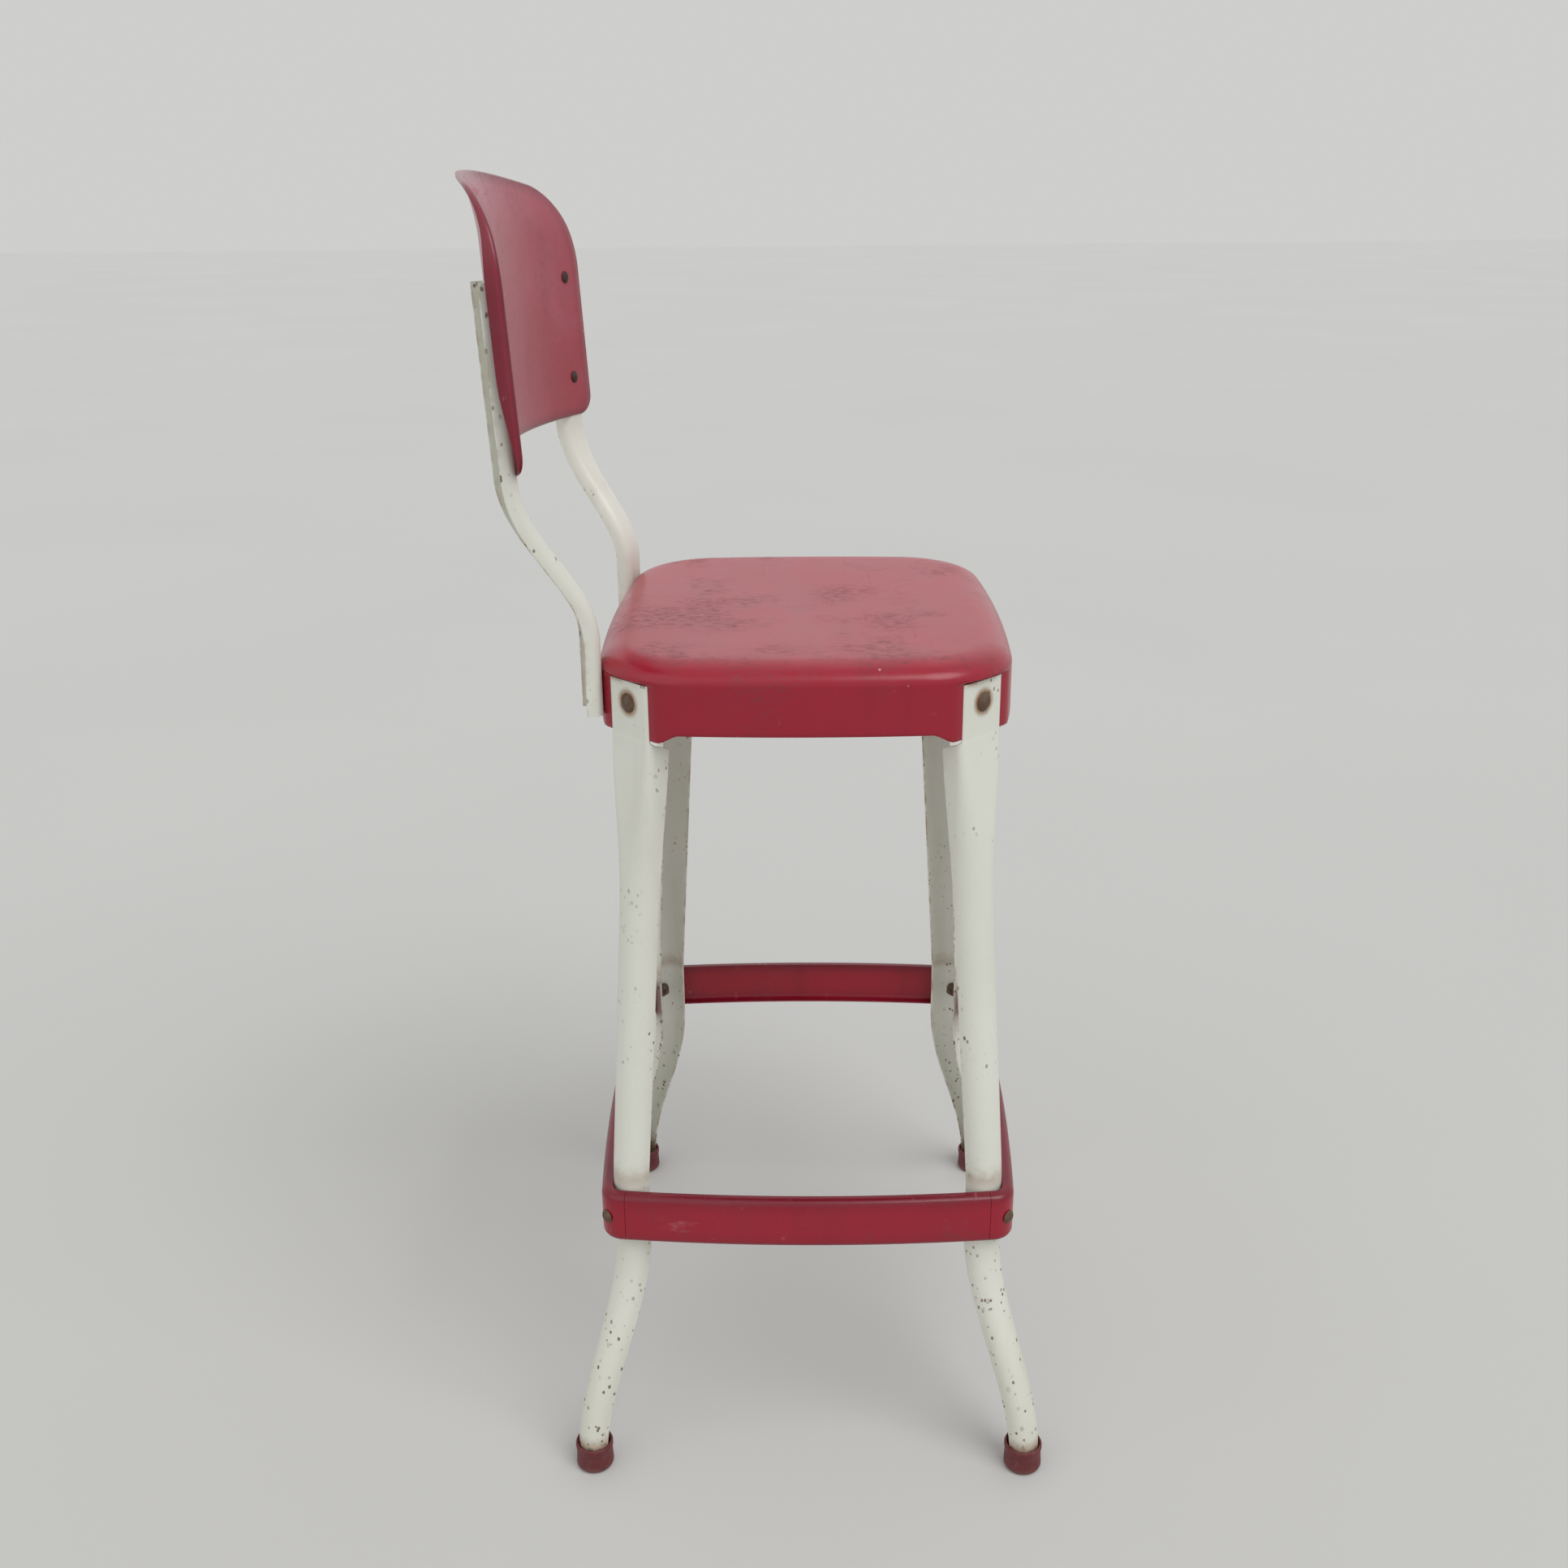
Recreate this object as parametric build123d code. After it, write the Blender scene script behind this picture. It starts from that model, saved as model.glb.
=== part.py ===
from build123d import *
import math
import os

# Sizes in millimetres. +Z is up, the sitter faces -Y, the left hand is +X.

# Pressed sheet and fits
PAN_SHEET = 1.3
LEG_SHEET = 1.5
LAP_GAP = 0.1
HOLE_GAP = 0.15

# Seat pan
SEAT_TOP = 610.0
SEAT_HALF_X = 173.0
SEAT_HALF_Y = 140.8
SEAT_BOW = 8.0
SEAT_CORNER = 66.0
SEAT_ROLL = 13.0
SKIRT_DEPTH = 46.0
EAR_DROP = 6.0
EAR_INSET_SIDE = 44.8
EAR_INSET_FRONT = 45.0
EAR_RUN = 15.0
SKIRT_BOTTOM = SEAT_TOP - SKIRT_DEPTH
EAR_BOTTOM = SKIRT_BOTTOM - EAR_DROP
FACET_TOP = SEAT_TOP - SEAT_ROLL

# Foot rails
RAIL_HALF_X = 188.0
RAIL_HALF_Y = 154.0
RAIL_BOW = 8.0
RAIL_CORNER = 16.0
RAIL_BOTTOM = 187.0
RAIL_HEIGHT = 38.0
RAIL_EDGE = 5.0
RAIL_LIP = 8.0
SEAM_SETBACK = 24.5
SEAM_GAP = 0.3
TONGUE_HEIGHT = 27.0
TONGUE_LAP = 14.0
TONGUE_REACH = 22.0
SEAM_Y = RAIL_HALF_Y - SEAM_SETBACK

# Rubber tips
TIP_RADIUS = 13.8
TIP_HEIGHT = 21.0
TIP_FLOOR = 5.0
TIP_WALL = 1.8
TIP_ROUND = 3.5
TIP_GAP = 0.8

# Legs
TAB_INSET_X = 24.0
TAB_INSET_Y = 25.8
TAB_GAP = 2.4
TAB_WIDTH = 41.0
TAB_CORNER = 5.0
TAB_FOOT_DROP = 2.0
LEG_TAPER = 126.0
LEG_MID_WIDTH = 31.0
LEG_RING_WIDTH = 28.0
LEG_RING_CLEAR = 7.0
LEG_KICK_CLEAR = 5.0
LEG_FOOT_Z = 12.0
LEG_FOOT_FLANGE = 3.5
LEG_DEPTH = 17.0
LEG_CROWN_FLAT = 1.2
LEG_KICK = 45.7
RING_SEAT = 11.1
TAB_X = SEAT_HALF_X - TAB_INSET_X
TAB_Y = SEAT_HALF_Y - TAB_INSET_Y
TAB_TOP = FACET_TOP - TAB_GAP
TAB_FOOT = EAR_BOTTOM - TAB_FOOT_DROP
LEG_MID_Z = TAB_FOOT - LEG_TAPER
LEG_RING_Z = RAIL_BOTTOM + RAIL_HEIGHT + LEG_RING_CLEAR
LEG_KICK_Z = RAIL_BOTTOM - LEG_KICK_CLEAR
LEG_FOOT_WIDTH = 2 * (TIP_RADIUS - TIP_WALL - TIP_GAP)
LEG_FOOT_DEPTH = LEG_FOOT_WIDTH / 2 + LEG_FOOT_FLANGE

# Back panel
BACK_GAP = 116.5
BACK_SETBACK = 26.9
PANEL_HEIGHT = 178.5
PANEL_HALF_X = 163.0
PANEL_CURVE = 290.0
PANEL_LEAN = 3.1
PANEL_CURL_RISE = 6.0
PANEL_CURL_RADIUS = 45.0
PANEL_TOP_CORNER = 60.0
PANEL_BOTTOM_CORNER = 15.0
PANEL_RIM = 10.0
PANEL_RIM_LOW = 3.5
PANEL_BOTTOM = SEAT_TOP + BACK_GAP
PANEL_TOP = PANEL_BOTTOM + PANEL_HEIGHT
PANEL_CURL_Z = PANEL_TOP - PANEL_CURL_RISE
PANEL_EDGE_Y = SEAT_HALF_Y + BACK_SETBACK

# Back uprights
UPRIGHT_WIDTH = 27.0
UPRIGHT_DEPTH = 11.0
UPRIGHT_CORNER = 6.0
UPRIGHT_RAISE = 2.0
UPRIGHT_BEND_RISE = 6.0
UPRIGHT_BEND_CLEAR = 3.0
UPRIGHT_LAP = 114.5
UPRIGHT_SEAT_TURN = 14.0
UPRIGHT_PANEL_TURN = 28.7
UPRIGHT_BEND_PULL = 40.0
UPRIGHT_BOTTOM = SKIRT_BOTTOM + UPRIGHT_RAISE
UPRIGHT_BEND_LOW = SEAT_TOP + UPRIGHT_BEND_RISE
UPRIGHT_BEND_HIGH = PANEL_BOTTOM - UPRIGHT_BEND_CLEAR
UPRIGHT_TOP = PANEL_BOTTOM + UPRIGHT_LAP

# Fasteners
LEG_RIVET_DROP = 14.6
LEG_RIVET_HEAD = 6.5
LEG_RIVET_RISE = 3.0
LEG_RIVET_SHANK = 3.0
LEG_RIVET_TAIL = 4.8
RIVET_TAIL_RISE = 2.0
BOLT_HEAD = 4.9
BOLT_HEAD_RISE = 2.8
BOLT_SHANK = 2.5
BOLT_END = 1.6
NUT_RADIUS = 6.4
NUT_RISE = 4.6
NUT_SEAT = 1.7
SMALL_RIVET_HEAD = 4.4
SMALL_RIVET_RISE = 2.0
SMALL_RIVET_SHANK = 2.2
CURVE_GAP = 0.25
UPRIGHT_RIVET_LOW = 8.0
UPRIGHT_RIVET_STEP = 17.0
PANEL_RIVET_LOW = 29.5
PANEL_RIVET_STEP = 74.0
LEG_RIVET_Z = TAB_TOP - LEG_RIVET_DROP
BOLT_Z = RAIL_BOTTOM + RAIL_HEIGHT / 2
UPRIGHT_RIVET_Z = [UPRIGHT_BOTTOM + UPRIGHT_RIVET_LOW + UPRIGHT_RIVET_STEP * i for i in range(2)]
PANEL_RIVET_Z = [PANEL_BOTTOM + PANEL_RIVET_LOW + PANEL_RIVET_STEP * i for i in range(2)]

DIAGONAL = math.sqrt(0.5)
TAB_REACH = (TAB_X + TAB_Y) * DIAGONAL
TAB_SIDE = (TAB_Y - TAB_X) * DIAGONAL
CORNERS = {"rear_left": (1, 1), "rear_right": (-1, 1), "front_left": (1, -1), "front_right": (-1, -1)}
BIG = 600.0
THROUGH = 16.0


def flip(shape, side_x, side_y):
    """Copy a part of the rear left corner to another corner."""
    if side_x < 0:
        shape = mirror(shape, about=Plane.YZ)
    if side_y < 0:
        shape = mirror(shape, about=Plane.XZ)
    return shape


def four_corners(shape):
    """The same part at all four corners."""
    return [flip(shape, side_x, side_y) for side_x, side_y in CORNERS.values()]


def bowed_face(half_x, half_y, bow, corner):
    """Rounded rectangle with outward bowed sides."""
    end_x = half_x - bow
    end_y = half_y - bow
    ends = [(end_x, -end_y), (end_x, end_y), (-end_x, end_y), (-end_x, -end_y)]
    middles = [(half_x, 0), (0, half_y), (-half_x, 0), (0, -half_y)]
    sides = Curve()
    for i, middle in enumerate(middles):
        sides += ThreePointArc(ends[i], middle, ends[(i + 1) % 4])
    face = make_face(sides)
    return fillet(face.vertices(), corner)


def dome(radius, rise):
    """Spherical cap on the ground plane, for rivet and bolt heads."""
    ball = (radius ** 2 + rise ** 2) / (2 * rise)
    half_angle = math.asin(radius / ball) / 2
    middle = (ball * math.sin(half_angle), rise - ball + ball * math.cos(half_angle))
    edge = Line((0, 0), (radius, 0))
    edge += ThreePointArc((radius, 0), middle, (0, rise))
    edge += Line((0, rise), (0, 0))
    return revolve(Plane.XZ * make_face(edge), axis=Axis.Z)


def rivet(head, rise, shank, grip, tail):
    """Rivet standing on the ground plane with its tail formed below the grip."""
    body = dome(head, rise)
    body += Pos(0, 0, -grip / 2) * Cylinder(shank, grip + 0.2)
    body += Pos(0, 0, -grip) * Rot(180, 0, 0) * dome(tail, RIVET_TAIL_RISE)
    return body


def corner_centre(half_x, half_y, bow, corner):
    """Centre of the rear left corner round of a bowed rectangle."""
    end_x = half_x - bow
    end_y = half_y - bow
    side = (end_y ** 2 + bow ** 2) / (2 * bow)
    rear = (end_x ** 2 + bow ** 2) / (2 * bow)
    x = end_x - corner
    y = end_y - corner
    for _ in range(20):
        x = half_x - side + math.sqrt((side - corner) ** 2 - y ** 2)
        y = half_y - rear + math.sqrt((rear - corner) ** 2 - x ** 2)
    return x, y


def ring_corner():
    """Outermost point of the foot ring's rear left corner: reach along the diagonal and offset beside it."""
    x, y = corner_centre(RAIL_HALF_X, RAIL_HALF_Y, RAIL_BOW, RAIL_CORNER)
    return (x + y) * DIAGONAL + RAIL_CORNER, (y - x) * DIAGONAL


def leg_side(z):
    """Offset of the leg's middle beside the diagonal, from the seat's corner down to the ring's corner."""
    return TAB_SIDE + (ring_corner()[1] - TAB_SIDE) * between(z, TAB_FOOT, LEG_RING_Z)


def on_diagonal(reach, z):
    """Plane across the rear left diagonal, facing outward, on the middle of the leg."""
    side = leg_side(z)
    point = ((reach - side) * DIAGONAL, (reach + side) * DIAGONAL, z)
    return Plane(origin=point, x_dir=(-DIAGONAL, DIAGONAL, 0), z_dir=(DIAGONAL, DIAGONAL, 0))


def smooth(t):
    """Smooth step from 0 to 1."""
    t = min(max(t, 0.0), 1.0)
    return t * t * (3 - 2 * t)


def between(z, high, low):
    """Share of the way down from one height to another."""
    return min(max((high - z) / (high - low), 0.0), 1.0)


def leg_reach(z):
    """Distance of the leg's crown from the middle, along the diagonal."""
    splay = (ring_corner()[0] - RING_SEAT - TAB_REACH) * between(z, TAB_FOOT, LEG_RING_Z)
    kick = LEG_KICK * smooth(between(z, LEG_KICK_Z, LEG_FOOT_Z))
    return TAB_REACH + splay + kick


def leg_width(z):
    """Width of the leg channel at a height."""
    width = TAB_WIDTH
    width -= (TAB_WIDTH - LEG_MID_WIDTH) * smooth(between(z, TAB_FOOT, LEG_MID_Z))
    width -= (LEG_MID_WIDTH - LEG_RING_WIDTH) * between(z, LEG_MID_Z, LEG_RING_Z)
    width -= (LEG_RING_WIDTH - LEG_FOOT_WIDTH) * between(z, LEG_KICK_Z, TIP_HEIGHT)
    return width


def leg_corner(z):
    """Outer corner radius of the leg channel: square at the tab, half round below."""
    round_radius = (leg_width(z) - LEG_CROWN_FLAT) / 2
    return TAB_CORNER + (round_radius - TAB_CORNER) * smooth(between(z, TAB_FOOT, LEG_MID_Z))


def leg_depth(z):
    """Depth of the leg channel at a height."""
    return LEG_DEPTH - (LEG_DEPTH - LEG_FOOT_DEPTH) * between(z, LEG_KICK_Z, TIP_HEIGHT)


def channel_face(width, depth, corner, sheet):
    """U section with its crown at y = 0 and its mouth towards -y."""
    half = width / 2
    inner = half - sheet
    run = half - corner
    bend = corner * (1 - DIAGONAL)
    inner_bend = sheet + (corner - sheet) * (1 - DIAGONAL)
    edge = Line((-half, -depth), (-half, -corner))
    edge += ThreePointArc((-half, -corner), (-half + bend, -bend), (-run, 0))
    edge += Line((-run, 0), (run, 0))
    edge += ThreePointArc((run, 0), (half - bend, -bend), (half, -corner))
    edge += Line((half, -corner), (half, -depth))
    edge += Line((half, -depth), (inner, -depth))
    edge += Line((inner, -depth), (inner, -corner))
    edge += ThreePointArc((inner, -corner), (half - inner_bend, -inner_bend), (run, -sheet))
    edge += Line((run, -sheet), (-run, -sheet))
    edge += ThreePointArc((-run, -sheet), (-half + inner_bend, -inner_bend), (-inner, -corner))
    edge += Line((-inner, -corner), (-inner, -depth))
    edge += Line((-inner, -depth), (-half, -depth))
    return make_face(edge)


def make_seat():
    """Drawn pan: rolled top edge, corner flats for the leg tabs, scalloped skirt, open below."""
    facet = TAB_REACH - LEG_SHEET - LAP_GAP
    seat = seat_block(0.0, facet) - seat_block(PAN_SHEET, facet)
    seat -= skirt_cut(SEAT_HALF_Y - EAR_INSET_SIDE, Plane.YZ)
    seat -= skirt_cut(SEAT_HALF_X - EAR_INSET_FRONT, Plane.XZ)
    hole = on_diagonal(facet, LEG_RIVET_Z) * Cylinder(LEG_RIVET_SHANK + HOLE_GAP, THROUGH)
    seat -= four_corners(hole)
    for z in UPRIGHT_RIVET_Z:
        hole = upright_seat_plane(z) * Cylinder(SMALL_RIVET_SHANK + HOLE_GAP, THROUGH)
        seat -= [hole, mirror(hole, about=Plane.YZ)]
    return seat


def seat_block(inset, facet):
    """Solid of the pan's outside, or of its inside when inset by the sheet."""
    low = EAR_BOTTOM - SEAT_ROLL - 2 * inset
    height = SEAT_TOP - inset - low
    face = bowed_face(SEAT_HALF_X - inset, SEAT_HALF_Y - inset, SEAT_BOW, SEAT_CORNER - inset)
    block = Pos(0, 0, low) * extrude(face, height)
    block = fillet(block.faces().sort_by(Axis.Z)[-1].edges(), SEAT_ROLL - inset)
    flat_height = FACET_TOP + inset - low
    flat = Pos(0, 0, flat_height / 2) * Box(BIG / 4, BIG / 4, flat_height)
    flat = Pos(facet - inset + BIG / 8, 0, low) * flat
    flat = Rot(0, 0, 45) * flat
    for cut in four_corners(flat):
        block -= cut
    return block


def skirt_cut(reach, plane):
    """Everything below the skirt's lower edge, seen along one side: ears low, middle higher."""
    inner = reach - EAR_RUN
    half = reach - EAR_RUN / 2
    floor = EAR_BOTTOM - BIG / 10
    edge = Line((-BIG, floor), (-BIG, EAR_BOTTOM))
    edge += Line((-BIG, EAR_BOTTOM), (-reach, EAR_BOTTOM))
    edge += Bezier((-reach, EAR_BOTTOM), (-half, EAR_BOTTOM), (-half, SKIRT_BOTTOM), (-inner, SKIRT_BOTTOM))
    edge += Line((-inner, SKIRT_BOTTOM), (inner, SKIRT_BOTTOM))
    edge += Bezier((inner, SKIRT_BOTTOM), (half, SKIRT_BOTTOM), (half, EAR_BOTTOM), (reach, EAR_BOTTOM))
    edge += Line((reach, EAR_BOTTOM), (BIG, EAR_BOTTOM))
    edge += Line((BIG, EAR_BOTTOM), (BIG, floor))
    edge += Line((BIG, floor), (-BIG, floor))
    return extrude(plane * make_face(edge), BIG, both=True)


def leg_section(z):
    """Level section of the leg at a height."""
    point = on_diagonal(leg_reach(z), z).origin
    plane = Plane(origin=point, x_dir=(DIAGONAL, -DIAGONAL, 0), z_dir=(0, 0, 1))
    return plane * channel_face(leg_width(z), leg_depth(z), leg_corner(z), LEG_SHEET)


def stretch(high, low, steps):
    """Even heights from one height down to just before another."""
    return [high - (high - low) * step / steps for step in range(steps)]


def make_leg():
    """Rear left leg: one strip, flat tab at the top, half round channel below, kicked out at the foot."""
    foot_end = TIP_FLOOR + LAP_GAP
    heights = stretch(TAB_FOOT, LEG_MID_Z, 4) + stretch(LEG_MID_Z, LEG_RING_Z, 4)
    heights += stretch(LEG_RING_Z, LEG_KICK_Z, 2) + stretch(LEG_KICK_Z, TIP_HEIGHT, 7)
    heights += [TIP_HEIGHT, foot_end]
    leg = loft([leg_section(z) for z in heights])
    leg += loft([leg_section(TAB_TOP), leg_section(TAB_FOOT)])
    trim_height = TAB_TOP - TAB_FOOT + THROUGH
    trim = Box(BIG / 8, BIG / 8, trim_height)
    trim = on_diagonal(TAB_REACH - LEG_SHEET, TAB_FOOT + trim_height / 2) * Rot(90, 0, 0) * trim
    trim = Pos(-BIG / 16 * DIAGONAL, -BIG / 16 * DIAGONAL, 0) * trim
    leg -= trim
    leg -= on_diagonal(TAB_REACH, LEG_RIVET_Z) * Cylinder(LEG_RIVET_SHANK + HOLE_GAP, THROUGH)
    leg -= on_diagonal(leg_reach(BOLT_Z), BOLT_Z) * Cylinder(BOLT_SHANK + HOLE_GAP, THROUGH)
    return leg


def ring_block(inset, bottom, height, edge):
    """Solid of the foot ring's outside, or of a smaller copy inside it."""
    face = bowed_face(RAIL_HALF_X - inset, RAIL_HALF_Y - inset, RAIL_BOW, RAIL_CORNER - inset)
    block = Pos(0, 0, bottom) * extrude(face, height)
    if edge > 0:
        rims = block.faces().sort_by(Axis.Z)
        block = fillet(rims[0].edges() + rims[-1].edges(), edge)
    return block


def make_rails():
    """Four channel rails: front and rear wrap the corners, the side rails tuck tongues behind them."""
    ring = ring_block(0.0, RAIL_BOTTOM, RAIL_HEIGHT, RAIL_EDGE)
    ring -= ring_block(PAN_SHEET, RAIL_BOTTOM + PAN_SHEET, RAIL_HEIGHT - 2 * PAN_SHEET, RAIL_EDGE - PAN_SHEET)
    ring -= ring_block(RAIL_LIP, RAIL_BOTTOM - RAIL_EDGE, RAIL_HEIGHT + 2 * RAIL_EDGE, 0.0)
    middle_z = RAIL_BOTTOM + RAIL_HEIGHT / 2
    hole = on_diagonal(leg_reach(BOLT_Z), BOLT_Z) * Cylinder(BOLT_SHANK + HOLE_GAP, 4 * RING_SEAT)
    holes = four_corners(hole)

    end_y = SEAM_Y + SEAM_GAP / 2
    rear_zone = Pos(0, end_y + BIG / 2, middle_z) * Box(2 * BIG, BIG, BIG)
    rear = (ring & rear_zone) - holes

    side_y = SEAM_Y - SEAM_GAP / 2
    side_zone = Pos(BIG / 2, 0, middle_z) * Box(BIG, 2 * side_y, BIG)
    tongue_low = middle_z - TONGUE_HEIGHT / 2
    outer = PAN_SHEET + LAP_GAP
    core = ring_block(outer + PAN_SHEET, tongue_low - RAIL_EDGE, TONGUE_HEIGHT + 2 * RAIL_EDGE, 0.0)
    tongue = ring_block(outer, tongue_low, TONGUE_HEIGHT, 0.0) - core
    tongue_end = RAIL_HALF_X - TONGUE_REACH
    tongue_zone = Pos(tongue_end + BIG / 2, side_y - TONGUE_LAP + BIG / 2, middle_z) * Box(BIG, BIG, BIG)
    tongue = tongue & tongue_zone
    lap = ring_block(PAN_SHEET - LAP_GAP, tongue_low, TONGUE_HEIGHT, 0.0) - core
    lap = lap & (Pos(BIG / 2, side_y - TONGUE_LAP / 2, middle_z) * Box(BIG, TONGUE_LAP, BIG))
    end = tongue + lap
    side = (ring & side_zone) + end + mirror(end, about=Plane.XZ)
    side -= holes
    return {
        "foot_rail_front": flip(rear, 1, -1),
        "foot_rail_rear": rear,
        "foot_rail_left": side,
        "foot_rail_right": flip(side, -1, 1),
    }


def make_tip():
    """Rear left rubber tip: a cup around the end of the leg."""
    cavity = TIP_RADIUS - TIP_WALL
    tip = Pos(0, 0, TIP_HEIGHT / 2) * Cylinder(TIP_RADIUS, TIP_HEIGHT)
    rims = tip.edges().filter_by(GeomType.CIRCLE).sort_by(Axis.Z)
    tip = fillet(rims[0], TIP_ROUND)
    tip = fillet(tip.edges().filter_by(GeomType.CIRCLE).sort_by(Axis.Z)[-1], TIP_WALL / 3)
    tip -= Pos(0, 0, TIP_FLOOR + TIP_HEIGHT / 2) * Cylinder(cavity, TIP_HEIGHT)
    point = on_diagonal(leg_reach(0) - LEG_FOOT_WIDTH / 2, 0).origin
    return Pos(point.X, point.Y, 0) * tip


def panel_axis_y():
    """Position of the vertical axis that the back panel curves around."""
    return PANEL_EDGE_Y - math.sqrt(PANEL_CURVE ** 2 - PANEL_HALF_X ** 2)


def panel_radius(z):
    """Front radius of the straight lower part of the panel at a height."""
    return PANEL_CURVE + (z - PANEL_BOTTOM) * math.tan(math.radians(PANEL_LEAN))


def panel_curve(shift):
    """Front line of the panel in radius and height, moved back by a shift: straight, then curled back."""
    lean = math.radians(PANEL_LEAN)
    start = (panel_radius(PANEL_CURL_Z), PANEL_CURL_Z)
    centre = (start[0] + PANEL_CURL_RADIUS * math.cos(lean), start[1] - PANEL_CURL_RADIUS * math.sin(lean))
    radius = PANEL_CURL_RADIUS - shift
    sweep = math.radians(75)
    points = []
    for share in (0.0, 0.5, 1.0):
        angle = math.pi - lean - sweep * share
        points.append((centre[0] + radius * math.cos(angle), centre[1] + radius * math.sin(angle)))
    drop = points[0][1] - PANEL_BOTTOM + 2 * PANEL_RIM
    foot = (points[0][0] - drop * math.tan(lean), points[0][1] - drop)
    return foot, points


def panel_shell(front, back, back_low):
    """Turned body between two shifts of the front line; the back one may close in at the bottom."""
    foot, points = panel_curve(front)
    back_foot, back_points = panel_curve(back)
    low_foot = panel_curve(back_low)[0]
    edge = Line(foot, points[0])
    edge += ThreePointArc(*points)
    edge += Line(points[2], back_points[2])
    edge += ThreePointArc(*reversed(back_points))
    edge += Line(back_points[0], low_foot)
    edge += Line(low_foot, foot)
    body = revolve(Plane.XZ * make_face(edge), axis=Axis.Z, revolution_arc=100)
    return Pos(0, panel_axis_y(), 0) * Rot(0, 0, 40) * body


def panel_outline(inset, drop):
    """Front outline of the panel as a bar along Y."""
    half = PANEL_HALF_X - inset
    top = PANEL_TOP - inset
    bottom = PANEL_BOTTOM - drop
    face = Pos(0, (top + bottom) / 2) * Rectangle(2 * half, top - bottom)
    corners = face.vertices().sort_by(Axis.Y)
    face = fillet(corners[2:], PANEL_TOP_CORNER - inset)
    if drop == 0:
        face = fillet(face.vertices().sort_by(Axis.Y)[:2], PANEL_BOTTOM_CORNER)
    return extrude(Plane.XZ * face, BIG, both=True)


def make_panel():
    """Curved back panel with a rim turned back at the sides and top."""
    panel = panel_shell(0.0, PANEL_RIM, PANEL_RIM_LOW) & panel_outline(0.0, 0.0)
    hollow = panel_shell(PAN_SHEET, 2.5 * PANEL_RIM, 2.5 * PANEL_RIM) & panel_outline(PAN_SHEET, 4 * PANEL_RIM)
    panel -= hollow
    for z in PANEL_RIVET_Z:
        hole = panel_plane(z) * Cylinder(SMALL_RIVET_SHANK + HOLE_GAP, THROUGH)
        panel -= [hole, mirror(hole, about=Plane.YZ)]
    return panel


def upright_seat_plane(z):
    """Plane on the seat's rear left corner round under the upright, facing outward."""
    turn = math.radians(UPRIGHT_SEAT_TURN)
    x, y = corner_centre(SEAT_HALF_X, SEAT_HALF_Y, SEAT_BOW, SEAT_CORNER)
    point = (x + SEAT_CORNER * math.sin(turn), y + SEAT_CORNER * math.cos(turn), z)
    return Plane(origin=point, x_dir=(0, 0, 1), z_dir=(math.sin(turn), math.cos(turn), 0))


def panel_plane(z):
    """Plane on the panel's front face at the left upright, facing backward."""
    turn = math.radians(UPRIGHT_PANEL_TURN)
    lean = math.radians(PANEL_LEAN)
    radius = panel_radius(z)
    point = (radius * math.sin(turn), panel_axis_y() + radius * math.cos(turn), z)
    flat = math.cos(lean)
    normal = (math.sin(turn) * flat, math.cos(turn) * flat, -math.sin(lean))
    return Plane(origin=point, x_dir=(math.cos(turn), -math.sin(turn), 0), z_dir=normal)


def upright_section(point, along, share):
    """Section of the upright at a point of its path, turned from the seat's angle to the panel's."""
    turn = UPRIGHT_SEAT_TURN + (UPRIGHT_PANEL_TURN - UPRIGHT_SEAT_TURN) * smooth(share)
    turn = math.radians(turn)
    plane = Plane(origin=point, x_dir=(-math.cos(turn), math.sin(turn), 0), z_dir=along)
    return plane * channel_face(UPRIGHT_WIDTH, UPRIGHT_DEPTH, UPRIGHT_CORNER, LEG_SHEET)


def make_upright():
    """Left upright: channel riveted to the seat's skirt, bent back and up behind the panel."""
    seat_plane = upright_seat_plane(UPRIGHT_BOTTOM)
    low = seat_plane.origin + seat_plane.z_dir * LAP_GAP
    bend_low = low + Vector(0, 0, UPRIGHT_BEND_LOW - UPRIGHT_BOTTOM)
    behind = PAN_SHEET + LAP_GAP
    high_plane = panel_plane(UPRIGHT_BEND_HIGH)
    top_plane = panel_plane(UPRIGHT_TOP)
    bend_high = high_plane.origin + high_plane.z_dir * behind
    top = top_plane.origin + top_plane.z_dir * behind
    up = Vector(0, 0, 1)
    rise = (top - bend_high).normalized()
    pull = UPRIGHT_BEND_PULL
    bend = Bezier(bend_low, bend_low + Vector(0, 0, pull), bend_high - rise * pull, bend_high)

    upright = loft([upright_section(low, up, 0.0), upright_section(bend_low, up, 0.0)])
    steps = [step / 10 for step in range(11)]
    upright += loft([upright_section(bend @ share, bend % share, share) for share in steps])
    upright += loft([upright_section(bend_high, rise, 1.0), upright_section(top, rise, 1.0)])
    for z in UPRIGHT_RIVET_Z:
        upright -= upright_seat_plane(z) * Cylinder(SMALL_RIVET_SHANK + HOLE_GAP, THROUGH)
    for z in PANEL_RIVET_Z:
        upright -= panel_plane(z) * Cylinder(SMALL_RIVET_SHANK + HOLE_GAP, THROUGH)
    return upright


def make_leg_rivets():
    """One domed rivet per leg tab."""
    grip = LEG_SHEET + LAP_GAP + PAN_SHEET
    body = rivet(LEG_RIVET_HEAD, LEG_RIVET_RISE, LEG_RIVET_SHANK, grip, LEG_RIVET_TAIL)
    return four_corners(on_diagonal(TAB_REACH, LEG_RIVET_Z) * body)


def make_rail_bolts():
    """One round headed bolt per corner, from the rail through to the inside of the leg."""
    inside = leg_reach(BOLT_Z) - LEG_SHEET - NUT_SEAT - NUT_RISE - BOLT_END
    outside = ring_corner()[0]
    length = outside - inside
    body = dome(BOLT_HEAD, BOLT_HEAD_RISE)
    body += Pos(0, 0, -length / 2) * Cylinder(BOLT_SHANK, length + 0.4)
    return four_corners(on_diagonal(outside + CURVE_GAP, BOLT_Z) * body)


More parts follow.
